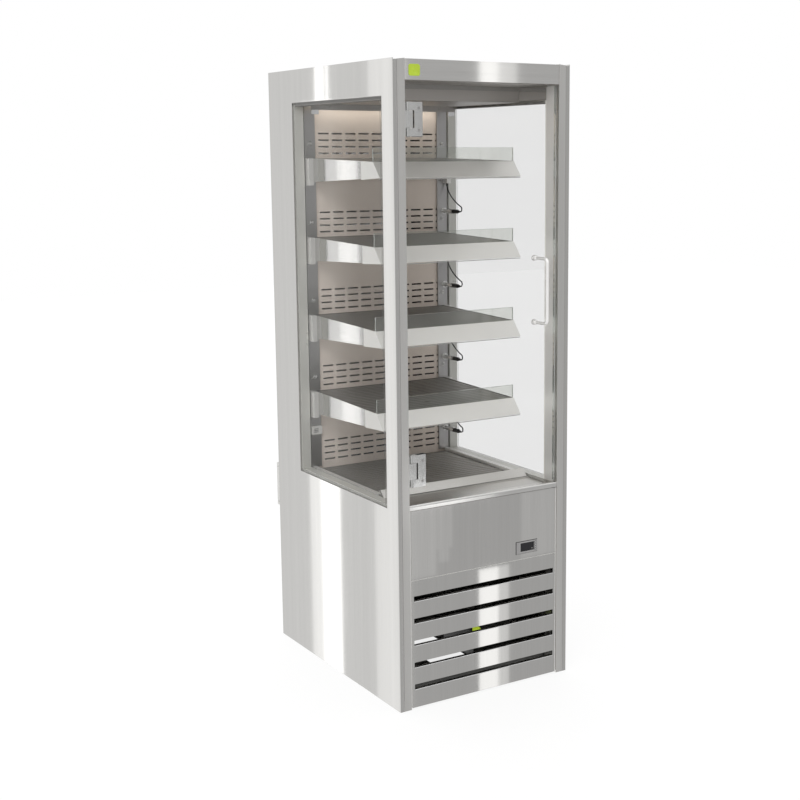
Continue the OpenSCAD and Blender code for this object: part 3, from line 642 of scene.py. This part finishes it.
def make_plugs_and_leads():
    """Each shelf's lead, moulded plug, socket on the upright, and grommet under its bracket."""
    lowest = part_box("shelf_risers")[0].z / MM - SOCKET_BELOW_RISER
    for k in range(SHELVES):
        z = lowest + k * SHELF_PITCH / MM
        lead = bmesh.new()
        add_tube(lead, lead_route(z), LEAD_R)
        make_piece(f"shelf_lead_{k + 1}", lead, "lead", stands_for=("shelf_leads",))
        make_turned(f"shelf_plug_{k + 1}", at(SOCKET_X, PLUG_TIP, z), TO_REAR, PLUG, "black_plastic", 28,
                    stands_for=("shelf_plugs",))
        make_turned(f"shelf_socket_{k + 1}", at(SOCKET_X, SOCKET_TIP, z), TO_REAR, SOCKET, "bright_plate", 28,
                    stands_for=("shelf_sockets",))
        make_turned(f"lead_grommet_{k + 1}", at(LEAD_END_X, LEAD_END_D, z + GROMMET_RISE), Z_UP, GROMMET,
                    "rubber", 20)


def make_upright_studs():
    """Locating stud with a bright collar, and a rivet, on both uprights above each shelf's rear corner."""
    low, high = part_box("shelf_uprights")
    stud = in_metres([(0, 0), (0, 2.4), (4, 2.4), (5, 1.6), (5, 0)])
    rivet = in_metres([(0, 0), (0, 1.8), (1, 1.6), (1.4, 0)])
    rise = 46 * MM
    collar_out = 0.8 * MM
    for side, x in (("left", low.x + 19 * MM), ("right", high.x - 20 * MM)):
        bm = bmesh.new()
        for name in SHELF_NODES:
            place = Vector((x, low.y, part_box(name)[1].z + rise))
            add_ring(bm, place + TO_FRONT * collar_out, TO_FRONT, 5.2 * MM, 1.3 * MM)
            add_turned(bm, place, TO_FRONT, stud, 16)
            add_turned(bm, place + Vector((-11, 0, -5)) * MM, TO_FRONT, rivet, 14)
        make_piece(f"{side}_upright_studs", bm, "bright_plate")


# ---------- casing trim ----------

HEADER_D = 209
FASCIA_Z = 1800
DECK_Z = 605
RAIL_TOP = DECK_Z + 7
GRILLE_SLOTS = 5
FIRST_SLOT = 59 * MM
SLOT_PITCH = 67 * MM


def beside(plane, sign, near, far):
    """Lower and upper x of a strip that lies from near to far outwards of a plane on one side."""
    return sorted((plane + sign * near, plane + sign * far))


def rounded_square(middle, half_x, half_z, radius, steps=6):
    """Loop of points in an upright plane round a rectangle with rounded corners."""
    loop = []
    for quarter, (sx, sz) in enumerate(((1, 1), (-1, 1), (-1, -1), (1, -1))):
        for i in range(steps + 1):
            t = math.pi / 2 * (quarter + i / steps)
            loop.append(middle + Vector((sx * (half_x - radius) + radius * math.cos(t), 0,
                                         sz * (half_z - radius) + radius * math.sin(t))))
    return loop


def make_badge():
    """Plain lime badge with rounded corners, a raised rim and a shallow field."""
    low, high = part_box("fascia_badge")
    middle = (low + high) / 2
    margin = 1.5 * MM
    corner = 6.5 * MM
    # Depth and inset of each step, from the back edge over the rim to the field
    steps = [(high.y, 0.0), (low.y + 0.5 * MM, 0.0), (low.y + 0.1 * MM, 0.8 * MM),
             (low.y + 0.1 * MM, 2.6 * MM), (low.y + 0.6 * MM, 3.2 * MM)]
    bm = bmesh.new()
    loops = []
    for y, inset in steps:
        half_x, half_z = [size / 2 - margin - inset for size in (high.x - low.x, high.z - low.z)]
        centre = Vector((middle.x, y, middle.z))
        loop = rounded_square(centre, half_x, half_z, corner - 0.8 * inset)
        loops.append([bm.verts.new(p) for p in loop])
    bm.faces.new(loops[0])
    bm.faces.new(loops[-1])
    for a, b in zip(loops, loops[1:]):
        stitch(bm, a, b)
    make_piece("fascia_badge_plate", bm, "lime_plastic", stands_for=("fascia_badge",))


def make_window_beads_and_shade_strips():
    """Dark bead and inner line round each outer pane, and dark strips at the top spacer that are painted
    shade.
    """
    bead_t = 0.45 * MM
    bead_w = 2.4 * MM
    line_in = Vector((0, 8.6, 8.6)) * MM
    line_w = 1.3 * MM
    pane = 4.2 * MM
    shade_strip_in = 9.2 * MM
    shade_strip_low = 10.6 * MM
    shade_strip_high = 9.1 * MM
    for side, sign in SIDES:
        low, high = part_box(f"{side}_glazing")
        inner, outer = (low.x, high.x) if sign > 0 else (high.x, low.x)
        a, b = beside(outer, sign, 0, bead_t)
        corners = Vector((a, low.y, low.z)), Vector((b, high.y, high.z))
        bead = bmesh.new()
        add_frame(bead, *corners, 0, bead_w)
        add_frame(bead, corners[0] + line_in, corners[1] - line_in, 0, line_w)
        make_piece(f"{side}_window_bead", bead, "spacer_dark")
        # Dark strips under the top spacer bar and along the outer pane's inner face there: painted shade for
        # the shadow on the top bar.
        under = sorted((inner + sign * pane, outer - sign * pane))
        inside = beside(outer, -sign, 3.9 * MM, 4.4 * MM)
        boxes = [(Vector((a, low.y + shade_strip_in, high.z - shade_strip_low)),
                  Vector((b, high.y - shade_strip_in, high.z - top)))
                 for (a, b), top in ((under, shade_strip_high), (inside, 0.3 * MM))]
        make_blocks(f"{side}_window_painted_shade", boxes, "spacer_dark", rounding=0.4 * MM)


def make_lamp_clips():
    """Folded end clip that holds the lamp shield to each upright, and the shield's screws."""
    shield_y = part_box("lamp_diffuser")[0].y - 5 * MM
    shield_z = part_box("ceiling_panel")[0].z
    outline = [(0, 0), (0, -13), (9, -14), (9, -12.8), (1.2, -11.8), (1.2, 0)]
    bm = bmesh.new()
    for sign in (-1, 1):
        a, b = sorted((sign * 236 * MM, sign * (WALL_IN - 0.8 * MM)))
        add_extrusion(bm, section(a, shield_y, shield_z, outline), Vector((b - a, 0, 0)))
    make_piece("lamp_shield_clips", bm, "mirror_steel")
    places = [Vector((x * MM, shield_y - 1.1 * MM, shield_z + 9 * MM)) for x in (-200, 0, 200)]
    make_screws("lamp_shield_screws", places, TO_FRONT, 2.2 * MM)


def make_header_rail():
    """Hemmed edge of the step in the ceiling, white strips inside the windows' front edges that are painted
    highlights, and the door jambs.
    """
    gap = 1 * MM
    step = at(0, HEADER_D - 2, FASCIA_Z)
    rail = bmesh.new()
    outline = [(0, 0), (2, -0.6), (2, 11.9), (0, 11.9)]
    add_extrusion(rail, section(gap - WALL_IN, step.y, step.z, outline), Vector((2 * (WALL_IN - gap), 0, 0)))
    make_piece("header_rail", rail, "header_grey")
    for (side, sign), jamb_d in zip(SIDES, (46, 20)):
        low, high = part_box(f"{side}_glazing")
        a, b = beside(sign * WALL_IN, -sign, 0.1 * MM, 0.9 * MM)
        # White strip at each window's front edge: a painted highlight of the lit edge.
        trim = (Vector((a, low.y - 1 * MM, low.z + 12 * MM)), Vector((b, low.y + 4 * MM, high.z)))
        make_blocks(f"{side}_window_edge_highlight", [trim], "seal_white", rounding=0.3 * MM)
        jamb = (Vector((a, at(0, jamb_d, 0).y, RAIL_TOP * MM)),
                Vector((b, low.y - 1.2 * MM, (FASCIA_Z + 8) * MM)))
        make_blocks(f"{side}_door_jamb", [jamb], "pan_steel", rounding=0.3 * MM)


def make_deck_shade_and_highlight_strips():
    """Painted shade: dark strips left of the grating and behind and left of the gutter lip; and a painted
    highlight on the right rail's face.
    """
    low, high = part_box("deck_grid")
    # Dark strips along the grating's left edge, in the crease at the gutter lip's toe and on the lip's left
    # end: painted shade.
    shade_lines = bmesh.new()
    add_box(shade_lines, Vector((low.x - 4 * MM, low.y, RAIL_TOP * MM)),
            Vector((low.x - 0.6 * MM, high.y, (RAIL_TOP + 0.5) * MM)))
    wall = WALL_IN / MM - 1
    add_box(shade_lines, at(-wall, 157.6, 601.6), at(wall, 160.2, 602.6))
    lip = [(181.4, 627.2), (157.8, 603.4), (147.4, 603.4), (147.4, 601.7), (159.4, 601.7), (181.4, 624.2)]
    add_extrusion(shade_lines, [at(-wall - 0.2, d, z) for d, z in lip], Vector((3.5 * MM, 0, 0)))
    make_piece("deck_painted_shade_lines", shade_lines, "spacer_dark")
    # White strip on the right rail's face: a painted highlight for the rail's bright reflection.
    rail = (Vector((high.x + 0.05 * MM, low.y, (DECK_Z + 0.2) * MM)),
            Vector((high.x + 0.45 * MM, high.y, (RAIL_TOP + 0.6) * MM)))
    make_blocks("deck_rail_painted_highlight", [rail], "seal_white", rounding=0.1 * MM)


def make_grille_lips():
    """Bright rolled lower lip of each slot in the grille."""
    low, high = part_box("grille_panel")
    inset = 8.4 * MM
    bm = bmesh.new()
    for z in (FIRST_SLOT + i * SLOT_PITCH - 0.4 * MM for i in range(GRILLE_SLOTS)):
        start = Vector((low.x + inset, low.y + 0.8 * MM, z))
        add_tube(bm, straight(start, Vector((high.x - inset, start.y, z))), 1.1 * MM, 10)
    make_piece("grille_lips", bm, "mirror_steel")


def make_panel_gaps():
    """Steel backing strips behind the joints round the two front panels."""
    low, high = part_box("lower_front_panel")
    grille_low, grille_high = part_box("grille_panel")
    gap = 0.1 * MM
    width = 3 * MM
    back = low.y + 12 * MM
    boxes = [(Vector((low.x, low.y + 0.6 * MM, grille_high.z + gap)), Vector((high.x, back, low.z - gap)))]
    for x in (low.x - width - 2 * gap, high.x + 2 * gap):
        boxes.append((Vector((x, low.y + 0.8 * MM, grille_low.z + width)), Vector((x + width, back, high.z))))
    make_blocks("panel_gap_strips", boxes, "pan_steel", rounding=0.3 * MM)


def around(low, high, margin, y_from, y_to):
    """Corners of a box that is larger than another by a margin in x and z."""
    return (Vector((low.x - margin, y_from, low.z - margin)),
            Vector((high.x + margin, y_to, high.z + margin)))


def make_controller_details():
    """Dark frame round the bezel, raised rim round the window, rings and domes of the keys, an indicator."""
    low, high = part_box("controller_housing")
    glass_low, glass_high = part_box("controller_display")
    margin = 1.1 * MM
    # Dark frame just behind the bezel's face, showing as a dark line round its edge.
    dark_outline = bmesh.new()
    add_frame(dark_outline, *around(low, high, margin, low.y + 1.3 * MM, low.y + 2.0 * MM), 1, margin + 2 * MM)
    make_piece("controller_dark_outline", dark_outline, "rubber")
    rim = bmesh.new()
    add_frame(rim, *around(glass_low, glass_high, 1.6 * MM, low.y - 0.25 * MM, low.y + 0.4 * MM), 1, 1.3 * MM)
    make_piece("controller_rim", rim, "satin_steel", rounding=0.2 * MM)
    dome = [(0, 0), (0, 1.9), (0.25, 1.7), (0.4, 0.9), (0.45, 0)]
    for i, name in enumerate(KEY_NODES, 1):
        key_low, key_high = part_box(name)
        middle = (key_low + key_high) / 2
        ring = bmesh.new()
        add_ring(ring, Vector((middle.x, low.y - 0.1 * MM, middle.z)), TO_REAR, 3.1 * MM, 0.45 * MM)
        make_piece(f"button_ring_{i}", ring, "black_plastic")
        make_turned(f"button_dome_{i}", Vector((middle.x, key_low.y, middle.z)), TO_FRONT, dome,
                    "satin_steel", 20, f"button_{i}")
    place = Vector((glass_high.x - 5 * MM, glass_low.y, glass_low.z + 5 * MM))
    make_turned("display_indicator", place, TO_FRONT, [(0, 0), (0, 1.3), (0.5, 1.1), (0.8, 0)],
                "seal_white", 16)


# ---------- door ----------

def make_door_details():
    """Seal on the door's free edge, and the pads and pin caps of both hinge clamps."""
    low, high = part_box("door_glass")
    proud = 0.25 * MM
    end = 2 * MM
    seal = (Vector((high.x - 3.5 * MM, low.y - proud, low.z + end)),
            Vector((high.x + 0.2 * MM, high.y + proud, high.z - end)))
    make_blocks("door_edge_seal", [seal], "edge_glass", "door", rounding=0.6 * MM)
    grip = 26 * MM
    pad_edge = 0.8 * MM
    pad_t = 0.5 * MM
    pivot_in = 9 * MM
    cap = in_metres([(0, 0), (0, 5.2), (0.6, 5.4), (1.4, 4.6), (1.9, 2.4), (2.0, 0)])
    for label in ("bottom", "top"):
        clamp_low, clamp_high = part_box(f"{label}_hinge_clamp")
        grip_low = Vector((clamp_high.x - grip, 0, clamp_low.z))
        pads = bmesh.new()
        for y in (low.y - pad_t, high.y):
            add_frame(pads, *around(grip_low, clamp_high, pad_edge, y, y + pad_t), 1, 2 * MM)
        make_piece(f"{label}_hinge_pads", pads, "rubber", "door")
        caps = bmesh.new()
        for z, way in ((clamp_high.z, 1), (clamp_low.z, -1)):
            add_turned(caps, Vector((clamp_low.x + pivot_in, low.y + 4 * MM, z)), Z_UP * way, cap)
        make_piece(f"{label}_hinge_caps", caps, "satin_steel", "door")


# ---------- roof, rear and base ----------

def make_fasteners():
    """Screws of the rear panel and its cover, and rivets of the roof and the side panels."""
    low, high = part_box("rear_panel")
    cover_low, cover_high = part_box("rear_service_cover")
    roof_low, roof_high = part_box("roof_panel")
    edge = 44 * MM
    screw_r = 4.2 * MM
    places = [Vector((sign * (high.x - edge), high.y, low.z + (40 + 210 * i) * MM))
              for sign in (-1, 1) for i in range(7)]
    make_screws("rear_panel_screws", places, TO_REAR, screw_r)
    rows = (cover_low.z + 14 * MM, 428 * MM)
    places = [Vector((x * MM, cover_high.y, z)) for x in range(-250, 251, 125) for z in rows]
    make_screws("service_cover_screws", places, TO_REAR, screw_r)
    roof_x = 268 * MM
    places = [Vector((sign * roof_x, roof_low.y + (60 + 165 * i) * MM, roof_high.z))
              for sign in (-1, 1) for i in range(5)]
    make_screws("roof_rivets", places, Z_UP, 3.4 * MM, RIVET)
    flange_x = 278 * MM
    for side, sign in SIDES:
        rear_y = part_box(f"{side}_side_panel")[1].y
        places = [Vector((sign * flange_x, rear_y, (60 + 250 * i) * MM)) for i in range(8)]
        make_screws(f"{side}_rear_rivets", places, TO_REAR, 3.2 * MM, RIVET)


def make_slot_hoods():
    """Pressed hood with closed ends over each air slot at the rear."""
    hood = [(0, 9.5), (1.5, 9.2), (5.2, 4.6), (5.6, 3.2), (4.8, 3.4), (1.2, 7.6), (0, 7.8)]
    cheek = [(0, 9.5), (1.5, 9.2), (5.2, 4.6), (5.6, 3.2), (0, 1.0)]
    width = 160
    cheek_t = 1
    for name, first, pitch, count in (("rear_panel", 1700, 22, 5), ("rear_service_cover", 130, 26, 8)):
        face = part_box(name)[1].y
        bm = bmesh.new()
        for z in (first + i * pitch for i in range(count)):
            for x in (-200, 40):
                stretches = [(x, width, hood), (x, cheek_t, cheek), (x + width - cheek_t, cheek_t, cheek)]
                for start, length, outline in stretches:
                    loop = section(start * MM, face, z * MM, outline)
                    add_extrusion(bm, loop, Vector((length * MM, 0, 0)))
        make_piece(name + "_hoods", bm, "sheet_across")


def make_foot_details():
    """Thread on each levelling foot's stem, and a rubber pad under the foot."""
    low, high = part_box("levelling_feet")
    radius = 15 * MM
    turns = [pair for i in range(3) for pair in ((8.2 + i * 1.2, 6.1), (8.8 + i * 1.2, 6.9))]
    thread = in_metres([(8.2, 0), *turns, (11.9, 6.1), (11.9, 0)])
    pad = in_metres([(0.1, 0), (0.1, 14.4), (0.4, 15.3), (2.4, 15.4), (3.0, 15.05), (3.0, 0)])
    threads = bmesh.new()
    pads = bmesh.new()
    for x in (low.x + radius, high.x - radius):
        for y in (low.y + radius, high.y - radius):
            add_turned(threads, Vector((x, y, 0)), Z_UP, thread, 20)
            add_turned(pads, Vector((x, y, 0)), Z_UP, pad)
    make_piece("foot_threads", threads, "satin_steel")
    make_piece("foot_pads", pads, "rubber")


def make_fan_guards():
    """Wire guard of rings and spokes on the front of each fan, its four screws, and the rotor's boss."""
    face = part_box("fan_frames")[0].y
    spoke_from, spoke_to = 10 * MM, 55 * MM
    screw_out = 50 * MM
    boss = [(0, 0), (0, 21.5), (0.6, 21.0), (1.2, 18), (0.7, 17), (0.7, 8), (1.3, 7), (1.3, 0)]
    for side in ("left", "right"):
        rotor_low, rotor_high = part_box(f"{side}_fan_rotor")
        middle = (rotor_low + rotor_high) / 2
        hub = Vector((middle.x, face - 1.6 * MM, middle.z))
        guard = bmesh.new()
        for radius in (10, 19, 28, 37, 46, 54):
            add_ring(guard, hub, TO_FRONT, radius * MM, 0.8 * MM, 40)
        for t in (math.pi / 4 * (i + 0.5) for i in range(8)):
            out = Vector((math.cos(t), 0, math.sin(t)))
            add_tube(guard, [hub + out * spoke_from, hub + out * spoke_to], 0.9 * MM, 8)
        make_piece(f"{side}_fan_guard", guard, "satin_steel")
        places = [Vector((hub.x + sx * screw_out, face, hub.z + sz * screw_out))
                  for sx in (-1, 1) for sz in (-1, 1)]
        make_screws(f"{side}_fan_screws", places, TO_FRONT, 3 * MM)
        make_turned(f"{side}_fan_boss", Vector((middle.x, rotor_low.y, middle.z)), TO_FRONT, boss,
                    "grey_plastic", 32, f"{side}_fan")


def make_electrics():
    """Lid and screws of the control box, the wires that rise from it, and the terminal cover's ribs."""
    low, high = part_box("control_box")
    lid_t = 2 * MM
    inset = 3 * MM
    lid = (Vector((low.x + inset, low.y + 3 * inset, high.z)),
           Vector((high.x - inset, high.y - inset, high.z + lid_t)))
    make_blocks("control_box_lid", [lid], "grey_plastic", rounding=0.8 * MM)
    places = [Vector((x, y, high.z + lid_t)) for x in (low.x + 12 * MM, high.x - 12 * MM)
              for y in (low.y + 20 * MM, high.y - 14 * MM)]
    make_screws("control_box_screws", places, Z_UP, 3 * MM)
    for i, finish in enumerate(("lead", "grey_plastic", "grey_plastic", "lead")):
        start = Vector((low.x + (40 + 14 * i) * MM, high.y, low.z + 50 * MM))
        end = Vector((start.x + (i - 1.5) * 20 * MM, high.y + 120 * MM, 460 * MM))
        wire = bmesh.new()
        add_tube(wire, curve(start, start + TO_REAR * 50 * MM, end - Z_UP * 200 * MM, end, 24), 1.6 * MM, 10)
        make_piece(f"loom_wire_{i + 1}", wire, finish)
    cover_low, cover_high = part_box("terminal_cover")
    boxes = [(Vector((x, cover_low.y - 0.9 * MM, cover_low.z + inset)),
              Vector((x + 2 * MM, cover_low.y, cover_high.z - inset)))
             for x in (cover_low.x + (4 + 6.2 * i) * MM for i in range(4))]
    # The ribs glow like the cover: painted light.
    make_blocks("terminal_cover_ribs", boxes, "lime_lit", rounding=0.3 * MM)


def make_inlet_details():
    """Cover screws on the sides of the mains inlet box, and the ribs of the cable gland."""
    low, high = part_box("inlet_box")
    casing_rear = at(0, 800, 0).y
    margin = 12 * MM
    for side, x, out in (("left", low.x, -1), ("right", high.x, 1)):
        places = [Vector((x, (casing_rear + high.y) / 2, z)) for z in (low.z + margin, high.z - margin)]
        make_screws(f"inlet_box_{side}_screws", places, (out, 0, 0), 2.2 * MM)
    gland_low, gland_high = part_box("inlet_gland")
    middle = (gland_low + gland_high) / 2
    radius = 8 * MM
    rib = in_metres([(0, 0), (0, 0.6), (10, 0.6), (10, 0)])
    count = 16
    ribs = bmesh.new()
    for t in (2 * math.pi * i / count for i in range(count)):
        out = Vector((math.cos(t), math.sin(t), 0))
        place = Vector((middle.x, middle.y, gland_low.z + 1 * MM)) + radius * out
        add_turned(ribs, place, Z_UP, rib, 8)
    make_piece("gland_ribs", ribs, "black_plastic")


def make_probe_details():
    """Three vent slots in the white probe housing."""
    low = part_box("probe_housing")[0]
    boxes = [(Vector((low.x + 7 * MM, low.y - 0.15 * MM, z)),
              Vector((low.x + 22 * MM, low.y + 0.3 * MM, z + 1.8 * MM)))
             for z in (low.z + (7 + 5 * i) * MM for i in range(3))]
    make_blocks("probe_vents", boxes, "rubber", rounding=0.1 * MM)


make_shelves()
make_strip_hems()
make_riser_edges()
make_plugs_and_leads()
make_upright_studs()
make_badge()
make_window_beads_and_shade_strips()
make_lamp_clips()
make_header_rail()
make_deck_shade_and_highlight_strips()
make_grille_lips()
make_panel_gaps()
make_controller_details()
make_door_details()
make_fasteners()
make_slot_hoods()
make_foot_details()
make_fan_guards()
make_electrics()
make_inlet_details()
make_probe_details()


# ---------- camera and light ----------

EYE = Vector((-2.1444, -3.6116, 1.6040))
YAW, PITCH_DOWN, ROLL = (math.radians(a) for a in (-33.065, 9.042, 0.215))
LENS = 60.38
SENSOR = 36.0
LENS_SHIFT = (-0.0918, -0.0375)

# What the steel mirrors: the way to the studio's lighter side, its two levels, what its top adds
LIGHT_SIDE = (-0.75, 0.66, 0.0)
STUDIO = (0.48, 0.84)
OVERHEAD = 0.40
FLOOR_GREY = 0.14
FLOOR_GLOW = 0.83

SIDE_PLANE = -1.0
FRONT_PLANE = -1.305
# Name, the stretch and the heights in millimetres between which the camera sees the strip
# mirrored in the cabinet's face, and its brightness
SIDE_STRIPS = [
    ("band", 359, 487, -650, 1772, 1.05),
    ("band_top_1", 383, 400, 1772, 2100, 1.15),
    ("band_top_2", 413, 471, 1772, 2100, 1.15),
    ("ramp", 487, 568, -650, 1772, 0.42),
    ("front", 60, 140, -650, 2100, 0.26),
    ("edge", 0, 60, -650, 2100, 0.30),
]
FRONT_STRIPS = [
    ("grille", -24, 47, -300, 384, 0.85),
    ("grille_fade", 47, 85, -300, 384, 0.35),
    ("panel_left", -258, -172, 395, 598, 0.10),
    ("panel_streak", -176, -116, 470, 598, 0.07),
    ("panel_streak_2", -164, -128, 430, 598, 0.07),
    ("panel_streak_3", -152, -140, 520, 598, 0.06),
    ("panel_right", 130, 258, 395, 598, 0.07),
    ("post", -278, -262, 0, 1870, 0.5),
    ("sill", -262, -70, 605, 662, 1.5),
    ("sill_end", -70, 25, 605, 640, 0.9),
    ("clamps", -226, -219, 664, 1760, 0.5),
    ("fascia", -19, 47, 1775, 1900, 0.85),
    ("fascia_fade", 47, 112, 1775, 1900, 0.40),
]


def make_camera():
    data = bpy.data.cameras.new("camera")
    camera = bpy.data.objects.new("camera", data)
    bpy.context.scene.collection.objects.link(camera)
    data.lens = LENS
    data.sensor_width = SENSOR
    data.shift_x, data.shift_y = LENS_SHIFT
    camera.location = EYE
    turn = Matrix.Rotation(YAW, 3, "Z") @ Matrix.Rotation(math.pi / 2 - PITCH_DOWN, 3, "X")
    camera.rotation_euler = (turn @ Matrix.Rotation(-ROLL, 3, "Z")).to_euler()
    bpy.context.scene.camera = camera


def make_world():
    """White to the camera; to the steel a soft studio that is darker towards the right front."""
    world = bpy.data.worlds.new("studio")
    bpy.context.scene.world = world
    world.use_nodes = True
    sky = Nodes(world.node_tree)
    direction = sky.add("ShaderNodeTexCoord", {}).outputs["Generated"]
    facing = sky.add("ShaderNodeVectorMath", {0: direction, 1: LIGHT_SIDE}, operation="DOT_PRODUCT")
    height = sky.add("ShaderNodeSeparateXYZ", {"Vector": direction}).outputs["Z"]
    walls = sky.ramp(facing.outputs["Value"], -1.0, 1.0, *STUDIO)
    level = sky.math("ADD", walls, sky.ramp(height, 0.05, 0.70, 0.0, OVERHEAD))
    channels = {"Red": level, "Green": level, "Blue": level}
    grey = sky.add("ShaderNodeCombineColor", channels).outputs["Color"]
    to_camera = sky.add("ShaderNodeLightPath", {}).outputs["Is Camera Ray"]
    background = sky.tree.nodes["Background"]
    sky.put(background.inputs["Color"], sky.blend(to_camera, grey, (1, 1, 1, 1)))
    sky.put(background.inputs["Strength"], 1.0)


def area_light(name, place, target, width, height, watts, colour=(1, 1, 1), mirrors=False):
    """Rectangular light that the camera doesn't see, and that gloss mirrors only if it is told to."""
    data = bpy.data.lights.new(name, "AREA")
    data.shape = "RECTANGLE"
    data.size = width
    data.size_y = height
    data.energy = watts
    data.color = colour
    light = bpy.data.objects.new(name, data)
    bpy.context.scene.collection.objects.link(light)
    light.location = place
    light.rotation_euler = (Vector(target) - Vector(place)).to_track_quat("-Z", "Y").to_euler()
    light.visible_camera = False
    light.visible_glossy = mirrors


def strip_light(name, low, high, facing, radiance):
    """Upright strip box between two corners that share a plane across X or Y."""
    width = (high - low).to_2d().length
    height = high.z - low.z
    middle = (low + high) / 2
    watts = radiance * math.pi * width * height
    area_light(name, middle, middle + Vector(facing), width, height, watts, mirrors=True)


def mirrored(seen, axis, plane):
    """Place in a plane across axis X (0) or Y (1) whose reflection the camera sees at the point."""
    share = (seen[axis] - EYE[axis]) / (2 * seen[axis] - plane - EYE[axis])
    place = EYE + (seen - EYE) / share
    place[axis] = plane
    return place


def make_lights():
    """Strip boxes whose reflections stand as bright bands in the sheets, a soft key and the lamp."""
    side = -WALL_OUT / MM
    for name, start, end, low, high, radiance in SIDE_STRIPS:
        corners = [mirrored(at(side, d, z), 0, SIDE_PLANE) for d, z in ((start, low), (end, high))]
        strip_light("side_" + name, *corners, (1, 0, 0), radiance)
    for name, start, end, low, high, radiance in FRONT_STRIPS:
        corners = [mirrored(at(x, 0, z), 1, FRONT_PLANE) for x, z in ((start, low), (end, high))]
        strip_light("front_" + name, *corners, (0, 1, 0), radiance)
    area_light("key", (-2.4, -2.6, 3.4), (0, 0, 0.9), width=1.6, height=1.6, watts=45)
    low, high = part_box("lamp_diffuser")
    place = Vector((0, (low.y + high.y) / 2, low.z - 1 * MM))
    area_light("cabinet_lamp", place, place - Z_UP, width=0.44, height=0.02, watts=0.10,
               colour=(1.0, 0.96, 0.90))


def make_floor():
    """Wide pale floor just under the feet, bright all over."""
    bm = bmesh.new()
    bmesh.ops.create_grid(bm, x_segments=1, y_segments=1, size=12.0)
    mesh = bpy.data.meshes.new("floor")
    bm.to_mesh(mesh)
    bm.free()
    floor = bpy.data.objects.new("floor", mesh)
    bpy.context.scene.collection.objects.link(floor)
    floor.location.z = -0.5 * MM
    shader = Shader("floor", (FLOOR_GREY, FLOOR_GREY, 0.99 * FLOOR_GREY), 0.75)
    ends = [(FLOOR_GREY + by, FLOOR_GREY + by, FLOOR_GREY + by - 0.001, 1) for by in (-0.005, 0.005)]
    shader.set("Base Color", shader.blend(shader.noise((2, 2, 2), 3.0), *ends))
    shader.glow((1, 1, 1), FLOOR_GLOW)
    mesh.materials.append(shader.material)
    floor.visible_glossy = False
    floor.visible_shadow = False


make_camera()
make_world()
make_lights()
make_floor()
bpy.context.scene.view_settings.view_transform = "Standard"
bpy.context.scene.cycles.transparent_max_bounces = 32
